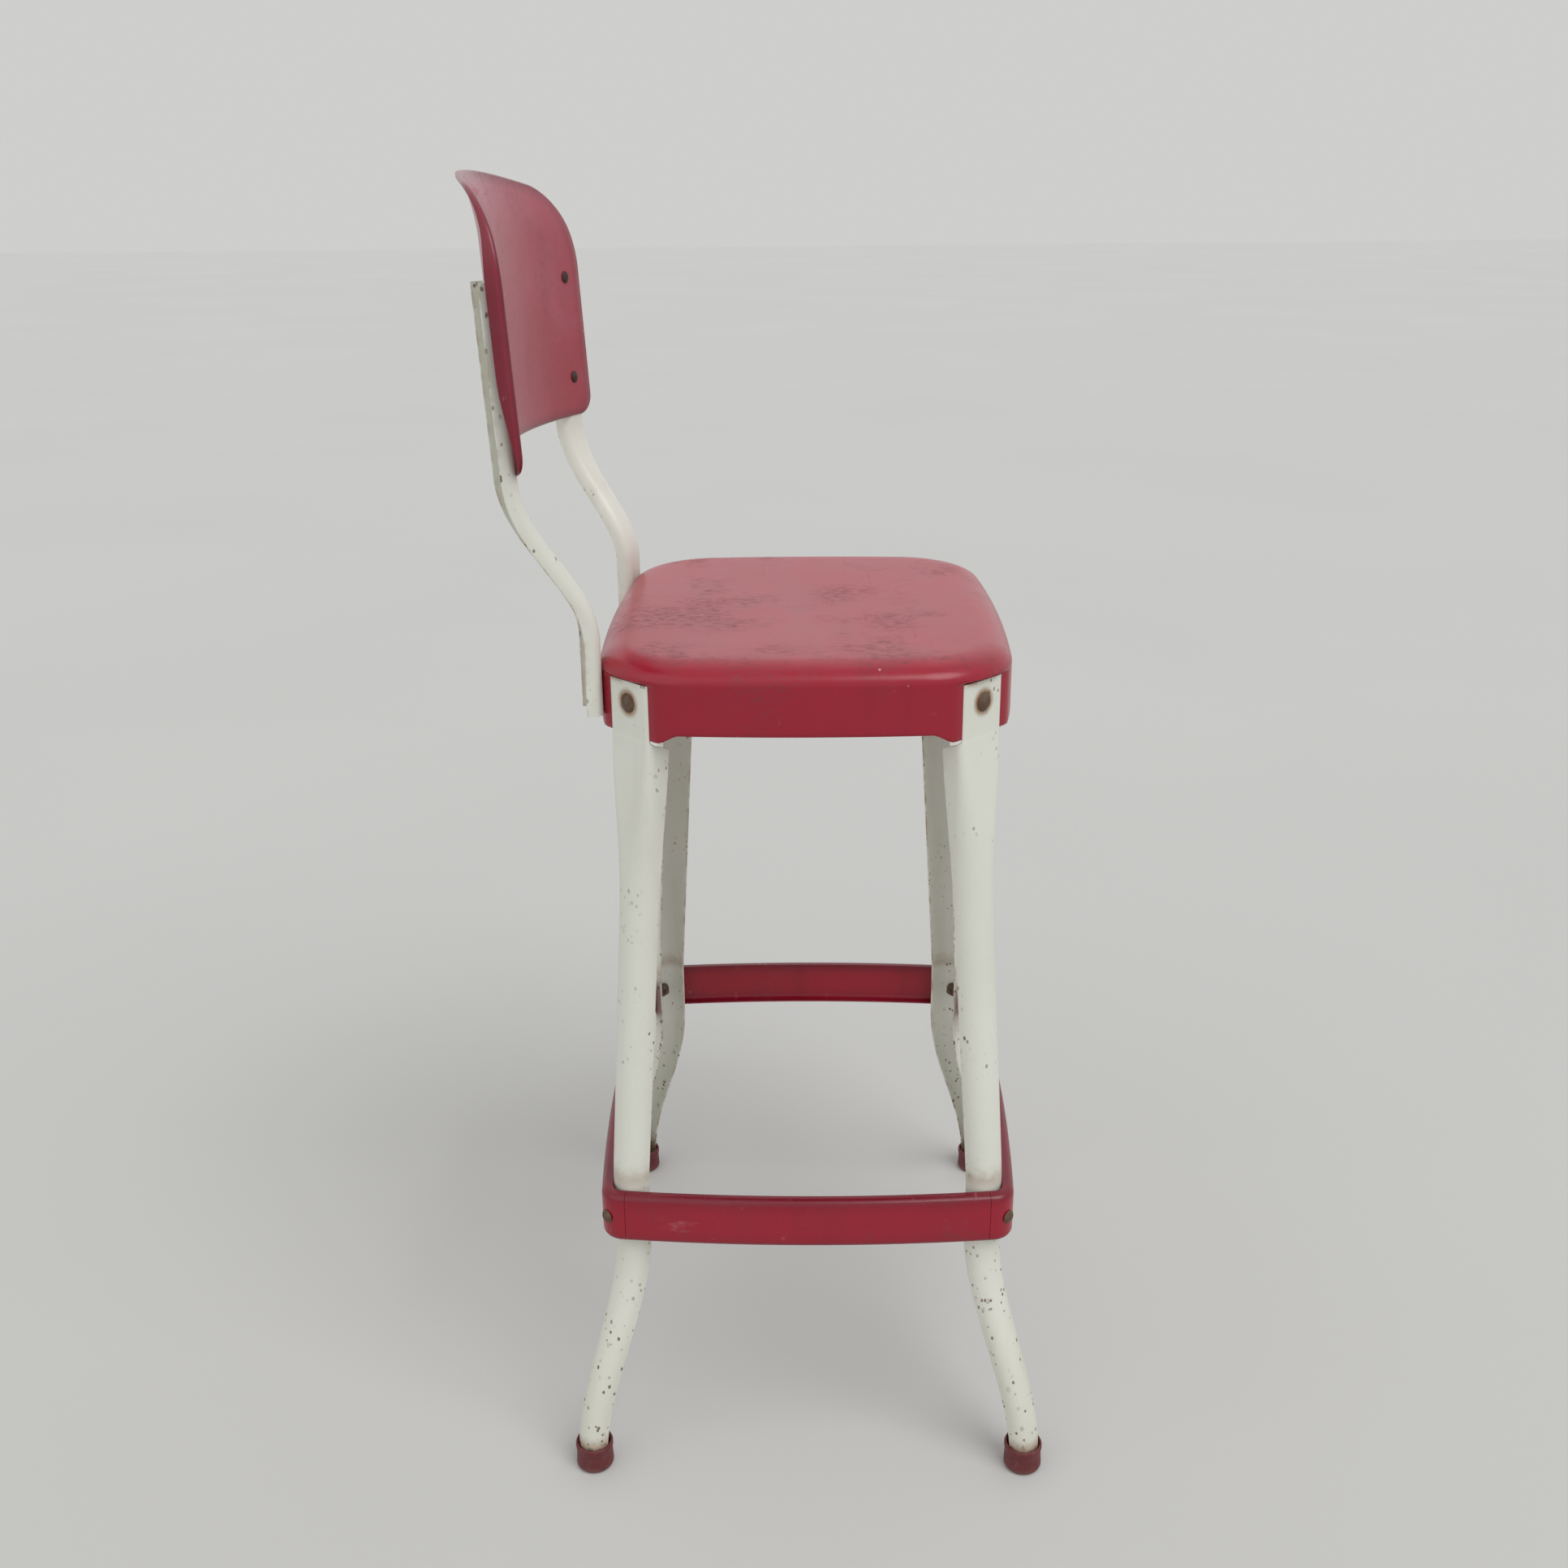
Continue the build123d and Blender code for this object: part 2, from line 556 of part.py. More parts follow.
def make_rail_nuts():
    """One domed nut per corner, its rim on the hollow of the leg channel."""
    body = Rot(180, 0, 0) * dome(NUT_RADIUS, NUT_RISE)
    body -= Cylinder(BOLT_SHANK + HOLE_GAP, 4 * NUT_RISE)
    return four_corners(on_diagonal(leg_reach(BOLT_Z) - LEG_SHEET - NUT_SEAT, BOLT_Z) * body)


def make_upright_rivets():
    """Two rivets per upright into the seat's skirt, heads inside the channel."""
    outside = LAP_GAP + LEG_SHEET
    grip = outside + PAN_SHEET + CURVE_GAP
    body = Pos(0, 0, outside) * rivet(SMALL_RIVET_HEAD, SMALL_RIVET_RISE, SMALL_RIVET_SHANK, grip, SMALL_RIVET_HEAD)
    left = [upright_seat_plane(z) * body for z in UPRIGHT_RIVET_Z]
    return left + [mirror(one, about=Plane.YZ) for one in left]


def make_back_rivets():
    """Two rivets per upright through the panel, heads on the panel's front."""
    grip = CURVE_GAP + PAN_SHEET + 2 * LAP_GAP + LEG_SHEET
    body = rivet(SMALL_RIVET_HEAD, SMALL_RIVET_RISE, SMALL_RIVET_SHANK, grip, SMALL_RIVET_HEAD)
    body = Pos(0, 0, -CURVE_GAP) * Rot(180, 0, 0) * body
    left = [panel_plane(z) * body for z in PANEL_RIVET_Z]
    return left + [mirror(one, about=Plane.YZ) for one in left]


def build_parts():
    """All pieces by name, around the middle of the legs."""
    leg = make_leg()
    tip = make_tip()
    upright = make_upright()
    parts = {"seat_pan": make_seat(), "back_panel": make_panel()}
    parts["back_upright_left"] = upright
    parts["back_upright_right"] = flip(upright, -1, 1)
    for name, (side_x, side_y) in CORNERS.items():
        parts["leg_" + name] = flip(leg, side_x, side_y)
        parts["foot_tip_" + name] = flip(tip, side_x, side_y)
    parts.update(make_rails())
    parts["leg_rivets"] = Compound(children=make_leg_rivets())
    parts["rail_bolts"] = Compound(children=make_rail_bolts())
    parts["rail_nuts"] = Compound(children=make_rail_nuts())
    parts["back_rivets"] = Compound(children=make_back_rivets())
    parts["upright_rivets"] = Compound(children=make_upright_rivets())
    return parts


def main():
    """Centre the stool on its footprint and write one file per piece."""
    parts = build_parts()
    front = parts["foot_tip_front_left"].bounding_box().min.Y
    rear = parts["back_panel"].bounding_box().max.Y
    os.makedirs("parts", exist_ok=True)
    for name, part in parts.items():
        part = Pos(0, -(front + rear) / 2, 0) * part
        part.label = name
        export_step(part, "parts/" + name + ".step")


main()
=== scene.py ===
import math

import bpy
import numpy as np
from mathutils import Matrix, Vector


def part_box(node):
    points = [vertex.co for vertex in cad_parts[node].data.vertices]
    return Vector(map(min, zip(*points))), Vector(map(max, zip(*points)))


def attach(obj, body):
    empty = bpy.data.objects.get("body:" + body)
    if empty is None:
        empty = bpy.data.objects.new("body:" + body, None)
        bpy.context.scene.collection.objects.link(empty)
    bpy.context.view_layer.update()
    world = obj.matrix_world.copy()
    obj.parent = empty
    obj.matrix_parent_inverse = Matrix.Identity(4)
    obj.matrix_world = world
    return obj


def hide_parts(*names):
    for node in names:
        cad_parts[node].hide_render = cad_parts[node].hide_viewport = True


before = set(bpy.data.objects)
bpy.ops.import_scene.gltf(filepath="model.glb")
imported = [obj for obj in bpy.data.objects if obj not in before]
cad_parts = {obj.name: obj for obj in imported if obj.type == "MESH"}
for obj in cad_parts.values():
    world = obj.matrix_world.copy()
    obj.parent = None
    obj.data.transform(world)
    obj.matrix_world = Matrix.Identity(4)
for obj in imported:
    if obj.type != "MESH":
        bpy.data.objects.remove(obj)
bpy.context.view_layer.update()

# Sizes in millimetres, measured from the middle of the legs on the floor.
MM = 0.001
SEAT_LOW, SEAT_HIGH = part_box("seat_pan")
CENTRE_Y = (SEAT_LOW[1] + SEAT_HIGH[1]) / 2

PAN_SHEET = 1.3
LEG_SHEET = 1.5
LAP_GAP = 0.1
CURVE_GAP = 0.25
LIP_ROUND = 0.3
EDGE_BULGE = 0.3
AXIS_RADIUS = 0.01
DIAGONAL = math.sqrt(0.5)

SEAT_TOP = 610.0
SEAT_HALF_X = 173.0
SEAT_HALF_Y = 140.8
SEAT_BOW = 8.0
SEAT_CORNER = 66.0
SEAT_ROLL = 13.0
SEAT_DISH = 1.6
SEAT_SOFT_ROLL = 24.0
SKIRT_DEPTH = 46.0
EAR_DROP = 6.0
EAR_INSET_SIDE = 44.8
EAR_INSET_FRONT = 45.0
EAR_RUN = 15.0
FACET_STEP = 2.2
SKIRT_BOTTOM = SEAT_TOP - SKIRT_DEPTH
EAR_BOTTOM = SKIRT_BOTTOM - EAR_DROP
FACET_TOP = SEAT_TOP - SEAT_ROLL

RAIL_HALF_X = 188.0
RAIL_HALF_Y = 154.0
RAIL_BOW = 8.0
RAIL_CORNER = 16.0
RAIL_BOTTOM = 187.0
RAIL_HEIGHT = 38.0
RAIL_EDGE = 5.0
RAIL_LIP = 8.0
RAIL_LIP_ROUND = 0.4
SEAM_SETBACK = 24.5
SEAM_GAP = 0.3
TONGUE_HEIGHT = 27.0
TONGUE_LAP = 14.0
TONGUE_TURN = math.radians(80)
SEAM_Y = RAIL_HALF_Y - SEAM_SETBACK

TIP_RADIUS = 13.8
TIP_HEIGHT = 21.0
TIP_FLOOR = 5.0
TIP_WALL = 1.8
TIP_ROUND = 3.5
TIP_GAP = 0.8
TIP_WAIST = 0.5
TIP_BEAD_Z = 15.6
TIP_MOUTH_ROUND = 0.9

TAB_INSET_X = 24.0
TAB_INSET_Y = 25.8
TAB_GAP = 2.4
TAB_WIDTH = 41.0
TAB_CORNER = 5.0
TAB_FOOT_DROP = 2.0
TAB_FOLD_DEGREES = 42.0
FLANGE_RUN = 9.0
LEG_TAPER = 126.0
LEG_MID_WIDTH = 31.0
LEG_RING_WIDTH = 28.0
LEG_RING_CLEAR = 7.0
LEG_KICK_CLEAR = 5.0
LEG_FOOT_Z = 12.0
LEG_FOOT_FLANGE = 3.5
LEG_DEPTH = 17.0
LEG_CROWN_FLAT = 1.2
LEG_KICK = 45.7
LEG_EASE = 9.0
RING_SEAT = 11.1
TAB_X = SEAT_HALF_X - TAB_INSET_X
TAB_Y = SEAT_HALF_Y - TAB_INSET_Y
TAB_TOP = FACET_TOP - TAB_GAP
TAB_FOOT = EAR_BOTTOM - TAB_FOOT_DROP
LEG_MID_Z = TAB_FOOT - LEG_TAPER
LEG_RING_Z = RAIL_BOTTOM + RAIL_HEIGHT + LEG_RING_CLEAR
LEG_KICK_Z = RAIL_BOTTOM - LEG_KICK_CLEAR
LEG_END_Z = TIP_FLOOR + LAP_GAP
LEG_FOOT_WIDTH = 2 * (TIP_RADIUS - TIP_WALL - TIP_GAP)
LEG_FOOT_DEPTH = LEG_FOOT_WIDTH / 2 + LEG_FOOT_FLANGE

# The back as fitted to the photo: flatter than its solid, with an arched and flared top.
BACK_GAP = 116.5
BACK_SETBACK = 28.1
PANEL_HEIGHT = 178.5
PANEL_HALF_X = 163.0
PANEL_CURVE = 392.0
PANEL_LEAN = math.radians(2.74)
PANEL_FLARE = 8.2
PANEL_FLARE_RISE = 43.6
PANEL_TOP_CORNER = 61.5
PANEL_BOTTOM_CORNER = 15.0
PANEL_RIM = 10.0
PANEL_RIM_LOW = 3.5
PANEL_RIM_TOP = 5.0
PANEL_CROWN = 18.2
PANEL_RIM_GROWTH = 60.0
PANEL_FOLD = 2.6
PANEL_BOTTOM = SEAT_TOP + BACK_GAP
PANEL_TOP = PANEL_BOTTOM + PANEL_HEIGHT
PANEL_FLARE_Z = PANEL_TOP - PANEL_FLARE_RISE
PANEL_EDGE_Y = SEAT_HALF_Y + BACK_SETBACK

UPRIGHT_WIDTH = 27.0
UPRIGHT_DEPTH = 11.0
UPRIGHT_CORNER = 6.0
UPRIGHT_ROUND = 3.5
UPRIGHT_RAISE = 2.0
UPRIGHT_BEND_RISE = 6.0
UPRIGHT_BEND_CLEAR = 3.0
UPRIGHT_LAP = 114.5
UPRIGHT_SEAT_TURN = math.radians(14.0)
UPRIGHT_PANEL_TURN = math.radians(20.8)
UPRIGHT_BEND_PULL = 40.0
UPRIGHT_BOTTOM = SKIRT_BOTTOM + UPRIGHT_RAISE
UPRIGHT_BEND_LOW = SEAT_TOP + UPRIGHT_BEND_RISE
UPRIGHT_BEND_HIGH = PANEL_BOTTOM - UPRIGHT_BEND_CLEAR
UPRIGHT_TOP = PANEL_BOTTOM + UPRIGHT_LAP

HEAD_EDGE = 0.35
HEAD_UNDERCUT = 0.3
TAIL_RISE = 2.0
LEG_RIVET_DROP = 14.6
LEG_RIVET_HEAD = 6.5
LEG_RIVET_RISE = 3.0
LEG_RIVET_SHANK = 3.0
LEG_RIVET_TAIL = 4.8
BOLT_HEAD = 4.9
BOLT_HEAD_RISE = 2.8
BOLT_SHANK = 2.5
BOLT_END = 1.6
BOLT_CHAMFER = 0.4
NUT_RADIUS = 6.4
NUT_RISE = 4.6
NUT_SEAT = 1.7
NUT_GAP = 0.15
SMALL_RIVET_HEAD = 4.4
SMALL_RIVET_RISE = 2.0
SMALL_RIVET_SHANK = 2.2
UPRIGHT_RIVET_LOW = 8.0
UPRIGHT_RIVET_STEP = 17.0
PANEL_RIVET_LOW = 29.5
PANEL_RIVET_STEP = 74.0
LEG_RIVET_Z = TAB_TOP - LEG_RIVET_DROP
BOLT_Z = RAIL_BOTTOM + RAIL_HEIGHT / 2
UPRIGHT_RIVET_Z = [UPRIGHT_BOTTOM + UPRIGHT_RIVET_LOW + UPRIGHT_RIVET_STEP * i for i in range(2)]
PANEL_RIVET_Z = [PANEL_BOTTOM + PANEL_RIVET_LOW + PANEL_RIVET_STEP * i for i in range(2)]

# Camera fitted to the photo, in millimetres, degrees and photo pixels.
CAMERA_X = -1130.2
CAMERA_Y = -3.0
CAMERA_Z = 887.3
CAMERA_PITCH = 20.33
CAMERA_YAW = 1.01
CAMERA_ROLL = -0.53
LENS_PIXELS = 1957.6
PHOTO_PIXELS = 1932.0
SENSOR_MM = 36.0

SEAT_OUTLINE = (SEAT_HALF_X, SEAT_HALF_Y, SEAT_BOW, SEAT_CORNER)
RAIL_OUTLINE = (RAIL_HALF_X, RAIL_HALF_Y, RAIL_BOW, RAIL_CORNER)
TAB_REACH = (TAB_X + TAB_Y) * DIAGONAL
TAB_SIDE = (TAB_Y - TAB_X) * DIAGONAL
CORNERS = {"rear_left": (1, 1), "rear_right": (-1, 1), "front_left": (1, -1), "front_right": (-1, -1)}


# Mesh building

class Shell:
    """Collects grids of points into one mesh. Each grid may carry a value per point that marks wear and, on
    red enamel, painted shade.
    """

    def __init__(self):
        self.points = []
        self.wear_and_shade = []
        self.faces = []
        self.count = 0

    def grid(self, rows, wear_and_shade=None, wrap=False, start_cap=False, end_cap=False):
        """Quads between neighbouring rows; wrap closes each row into a ring, caps close the ends."""
        rows = np.asarray(rows, dtype=float)
        n, m = rows.shape[:2]
        index = np.arange(n * m).reshape(n, m) + self.count
        right = np.roll(index, -1, axis=1) if wrap else index[:, 1:]
        left = index if wrap else index[:, :-1]
        quads = np.stack([left[:-1], right[:-1], right[1:], left[1:]], axis=-1).reshape(-1, 4)
        self.faces += quads.tolist()
        if start_cap:
            self.faces.append(index[0][::-1].tolist())
        if end_cap:
            self.faces.append(index[-1].tolist())
        self.points.append(rows.reshape(-1, 3))
        worn_and_shaded = np.zeros((n, m)) if wear_and_shade is None else np.broadcast_to(wear_and_shade, (n, m))
        self.wear_and_shade.append(worn_and_shaded.reshape(-1))
        self.count += n * m

    def make(self, name, material, slot, node, flip=(1, 1), sharp=40):
        """Mesh object in metres in the shared frame, standing for a solid; flip mirrors it to a corner."""
        points = np.concatenate(self.points) * (flip[0], flip[1], 1)
        points = points * MM + (0, CENTRE_Y, 0)
        faces = self.faces
        if flip[0] * flip[1] < 0:
            faces = [face[::-1] for face in faces]
        mesh = bpy.data.meshes.new(name)
        mesh.from_pydata(points.tolist(), [], faces)
        mesh.attributes.new("wear_and_shade", "FLOAT", "POINT")
        mesh.attributes["wear_and_shade"].data.foreach_set("value", np.concatenate(self.wear_and_shade))
        mesh.polygons.foreach_set("use_smooth", np.ones(len(faces), dtype=bool))
        mesh.set_sharp_from_angle(angle=math.radians(sharp))
        mesh.materials.append(material)
        mesh.validate()
        piece = bpy.data.objects.new(name, mesh)
        bpy.context.scene.collection.objects.link(piece)
        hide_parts(node)
        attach(piece, "root")
        return piece


def smooth(t):
    """Smooth step from 0 to 1."""
    t = np.clip(t, 0.0, 1.0)
    return t * t * (3 - 2 * t)


def between(z, high, low):
    """Share of the way down from one height to another."""
    return np.clip((high - z) / (high - low), 0.0, 1.0)


def bowed_quarter(half_x, half_y, bow, corner):
    """Arcs of a quarter of a bowed rectangle: side and rear radius, corner centre, turns at its ends."""
    end_x = half_x - bow
    end_y = half_y - bow
    side = (end_y ** 2 + bow ** 2) / (2 * bow)
    rear = (end_x ** 2 + bow ** 2) / (2 * bow)
    x = end_x - corner
    y = end_y - corner
    for _ in range(20):
        x = half_x - side + math.sqrt((side - corner) ** 2 - y ** 2)
        y = half_y - rear + math.sqrt((rear - corner) ** 2 - x ** 2)
    first = math.atan2(y, x - half_x + side)
    last = math.atan2(y - half_y + rear, x)
    return side, rear, x, y, first, last


def bowed_points(half_x, half_y, bow, corner, turn):
    """Points and outward normals of a bowed rectangle's first quarter, by the turn of the normal from +X."""
    side, rear, x, y, first, last = bowed_quarter(half_x, half_y, bow, corner)
    normal = np.stack([np.cos(turn), np.sin(turn)], axis=-1)
    on_side = normal * side + (half_x - side, 0)
    on_corner = normal * corner + (x, y)
    on_rear = normal * rear + (0, half_y - rear)
    low = (turn < first)[:, None]
    high = (turn > last)[:, None]
    return np.where(low, on_side, np.where(high, on_rear, on_corner)), normal


def quarter_turns(half_x, half_y, bow, corner, start=0.0, steps=(26, 30, 30)):
    """Turns that spread points evenly along the side, corner and rear of a quarter."""
    first, last = bowed_quarter(half_x, half_y, bow, corner)[4:]
    side = np.linspace(start, first, steps[0], endpoint=False)
    round_ = np.linspace(first, last, steps[1], endpoint=False)
    rear = np.linspace(last, math.pi / 2, steps[2])
    return np.concatenate([side, round_, rear])


def mirror_rows(points, normal):
    """A quarter carried on to the half beyond +Y by mirroring it in X."""
    back = (-1, 1)
    points = np.concatenate([points, points[-2::-1] * back])
    normal = np.concatenate([normal, normal[-2::-1] * back])
    return points, normal


def full_outline(half_x, half_y, bow, corner):
    """Closed bowed rectangle: the half beyond +Y and its mirror image in Y."""
    turns = quarter_turns(half_x, half_y, bow, corner)
    points, normal = mirror_rows(*bowed_points(half_x, half_y, bow, corner, turns))
    front = (1, -1)
    points = np.concatenate([points, points[-2:0:-1] * front])
    normal = np.concatenate([normal, normal[-2:0:-1] * front])
    return points, normal


def lathe(profile, origin, axis, steps=40):
    """Rows of a turned body: each profile point (radius, height) becomes a ring about the axis."""
    profile = np.asarray(profile, dtype=float)
    axis = np.asarray(axis, dtype=float) / np.linalg.norm(axis)
    side = np.cross(axis, (0, 0, 1.0))
    if np.linalg.norm(side) < 1e-6:
        side = np.array([1.0, 0, 0])
    side = side / np.linalg.norm(side)
    other = np.cross(axis, side)
    angle = np.linspace(0, 2 * math.pi, steps, endpoint=False)
    ring = np.cos(angle)[:, None] * side + np.sin(angle)[:, None] * other
    return np.asarray(origin) + profile[:, 1, None, None] * axis + profile[:, 0, None, None] * ring


def arc(centre, radius, start, end, steps):
    """Points of a circular arc between two angles in degrees."""
    angle = np.radians(np.linspace(start, end, steps))
    return np.stack([centre[0] + radius * np.cos(angle), centre[1] + radius * np.sin(angle)], axis=-1)


def channel_loop(width, depth, corner, sheet, reach=None, steps=15):
    """Closed U section: outer line by arc length from one flange end to the other, then the same line one
    sheet further in, with rounded edges. reach shortens both flanges; sizes may be arrays along a path."""
    half = np.asarray(width, dtype=float)[..., None] / 2
    depth = np.asarray(depth, dtype=float)[..., None]
    corner = np.asarray(corner, dtype=float)[..., None]
    run = half - corner
    full = run + corner * math.pi / 2 + depth - corner
    reach = full if reach is None else np.minimum(reach[..., None], full)
    share = np.linspace(0, 1, steps)
    bent = run + corner * math.pi / 2
    flat = run * (share[:4] / share[3]) ** 0.9
    curved = run + (bent - run) * share[1:]
    marks = np.minimum(np.concatenate([flat, curved], axis=-1), reach)
    tail = marks[..., -1:] + (reach - marks[..., -1:]) * np.array([0.3, 0.65, 0.93, 1.0])
    length = np.concatenate([marks, tail], axis=-1)
    angle = np.clip((length - run) / corner, 0, math.pi / 2)
    beyond = np.clip(length - bent, 0, None)
    x = np.where(length < run, length, run + corner * np.sin(angle))
    y = np.where(length < run, 0, -corner * (1 - np.cos(angle)) - beyond)
    normal_x = np.sin(angle)
    normal_y = np.cos(angle)
    outer = np.stack([x, y], axis=-1)
    inner = np.stack([x - sheet * normal_x, y - sheet * normal_y], axis=-1)
    along = np.stack([np.cos(angle[..., -1]), -np.sin(angle[..., -1])], axis=-1)
    edge = (outer[..., -1, :] + inner[..., -1, :]) / 2 + along * sheet * EDGE_BULGE
    mirror = np.array([-1, 1])
    left_outer = outer[..., ::-1, :] * mirror
    left_inner = inner * mirror
    parts = [left_outer, outer[..., 1:, :], edge[..., None, :], inner[..., ::-1, :]]
    parts += [left_inner[..., 1:, :], (edge * mirror)[..., None, :]]
    return np.concatenate(parts, axis=-2)


def edge_wear(count):
    """Wear round a U section of so many points: strong at the two sheet edges, none along the middle."""
    half = count // 2
    edge = np.abs(np.linspace(-1, 1, half)) ** 6
    return np.concatenate([edge, edge, np.zeros(count - 2 * half)])


def carry(loop, origin, across, facing):
    """Section loops placed along a path: x runs across, y runs along the way the crown faces."""
    return origin[:, None, :] + loop[..., 0:1] * across[:, None, :] + loop[..., 1:2] * facing[:, None, :]


def unit(v):
    """Vectors scaled to length one."""
    return v / np.linalg.norm(v, axis=-1, keepdims=True)


# Shapes of the stool

def seat_shell():
    """Pan: rings from the middle of the top over the roll and down the skirt, then back one sheet inside.
    A ring is the bowed outline moved in along its normals; the corner flats pull points in to a plane."""
    points, normal = full_outline(*SEAT_OUTLINE)
    side_dip = smooth((np.abs(points[:, 1]) - SEAT_HALF_Y + EAR_INSET_SIDE + EAR_RUN) / EAR_RUN)
    front_dip = smooth((np.abs(points[:, 0]) - SEAT_HALF_X + EAR_INSET_FRONT + EAR_RUN) / EAR_RUN)
    bottom = SKIRT_BOTTOM - (SKIRT_BOTTOM - EAR_BOTTOM) * np.minimum(side_dip, front_dip)
    facet = TAB_REACH - LEG_SHEET - LAP_GAP
    shell = Shell()
    rows = []
    worn_and_shaded = []
    for inset, order in ((0.0, 1), (PAN_SHEET, -1)):
        layer, layer_wear_and_shade = seat_layer(points, normal, bottom, facet, inset)
        rows += layer[::order]
        worn_and_shaded += layer_wear_and_shade[::order]
    shell.grid(rows, np.array(worn_and_shaded), wrap=True, start_cap=True, end_cap=True)
    return shell


def seat_layer(points, normal, bottom, facet, inset):
    """Rings of one face of the pan, from the middle of the top to the bottom of the skirt, and their wear."""
    rows = []
    worn_and_shaded = []
    roll = SEAT_ROLL - inset
    top = SEAT_TOP - inset
    inner_ring = points - normal * SEAT_SOFT_ROLL
    across = SEAT_SOFT_ROLL - inset
    for share in np.concatenate([[0.02, 0.08], np.linspace(0.15, 1, 22)]):
        dish = SEAT_DISH * smooth(1 - share)
        ring = np.column_stack([inner_ring * share, np.full(len(points), top - dish)])
        rows.append(ring)
        worn_and_shaded.append(np.full(len(points), 0.5 * smooth((share - 0.8) / 0.2)))
    for angle in np.radians(np.linspace(90, 0, 13)[1:]):
        ring = inner_ring + normal * across * math.cos(angle)
        height = top - roll + roll * math.sin(angle)
        rows.append(np.column_stack([ring, np.full(len(points), height)]))
        worn_and_shaded.append(np.full(len(points), 0.5 + 0.5 * math.sin(2 * angle)))
    skirt = points - normal * inset
    start = top - roll
    end = bottom + (LIP_ROUND if inset == 0.0 else 0.0)
    flat_top = FACET_TOP + inset
    for share in np.concatenate([[0.02, 0.04, 0.06, 0.085], np.linspace(0.12, 1, 14)]):
        z = start - (start - end) * share
        depth = (np.abs(skirt[:, 0]) + np.abs(skirt[:, 1])) * DIAGONAL - (facet - inset)
        pull = np.clip(depth, 0, None) * smooth((flat_top - z) / FACET_STEP)
        ring = skirt - np.sign(skirt) * (pull * DIAGONAL)[:, None]
        rows.append(np.column_stack([ring, z]))
        worn_and_shaded.append(np.full(len(points), smooth((share - 0.86) / 0.14)))
    if inset == 0.0:
        lip = rows[-1].copy()
        lip[:, :2] -= normal * PAN_SHEET / 2
        lip[:, 2] = bottom - LIP_ROUND
        rows.append(lip)
        worn_and_shaded.append(np.ones(len(points)))
    return rows, worn_and_shaded


def panel_radius(z):
    """Radius of the panel's front about its axis: a straight lean, and a flare that grows with the square
    of the rise above its start."""
    flare = PANEL_FLARE * (np.clip(z - PANEL_FLARE_Z, 0, None) / PANEL_FLARE_RISE) ** 2
    return PANEL_CURVE + (z - PANEL_BOTTOM) * math.tan(PANEL_LEAN) + flare


PANEL_AXIS_Y = PANEL_EDGE_Y - math.sqrt(PANEL_CURVE ** 2 - PANEL_HALF_X ** 2)


def panel_front(x, z):
    """Y of the panel's front face at a place in the front view."""
    return PANEL_AXIS_Y + np.sqrt(panel_radius(z) ** 2 - x ** 2)


def panel_outline():
    """Front view of the panel as points and outward normals, counted from the bottom middle: a straight
    bottom, small lower corners, straight sides, and upper corners that run into an arched top."""
    low = PANEL_BOTTOM_CORNER
    high = PANEL_TOP_CORNER
    half = PANEL_HALF_X
    arch = (half ** 2 + PANEL_CROWN ** 2) / (2 * PANEL_CROWN)
    arch_z = PANEL_TOP - arch
    corner_z = arch_z + math.sqrt((arch - high) ** 2 - (half - high) ** 2)
    meet = math.atan2(corner_z - arch_z, half - high)
    stretches = [
        (-math.pi / 2, -math.pi / 2, (0.0, PANEL_BOTTOM), (half - low, PANEL_BOTTOM), 0.0, 24),
        (-math.pi / 2, 0.0, (half - low, PANEL_BOTTOM + low), (half - low, PANEL_BOTTOM + low), low, 12),
        (0.0, 0.0, (half, PANEL_BOTTOM + low), (half, corner_z), 0.0, 20),
        (0.0, meet, (half - high, corner_z), (half - high, corner_z), high, 26),
        (meet, math.pi / 2, (0.0, arch_z), (0.0, arch_z), arch, 24),
    ]
    points = []
    normal = []
    for first, last, start, end, radius, steps in stretches:
        share = np.linspace(0, 1, steps, endpoint=radius == arch)[:, None]
        turn = first + (last - first) * share[:, 0]
        out = np.column_stack([np.cos(turn), np.sin(turn)])
        normal.append(out)
        points.append(np.array(start) * (1 - share) + np.array(end) * share + out * radius)
    points = np.concatenate(points)
    normal = np.concatenate(normal)
    mirror = (-1, 1)
    points = np.concatenate([points, points[-2:0:-1] * mirror])
    normal = np.concatenate([normal, normal[-2:0:-1] * mirror])
    return points, normal


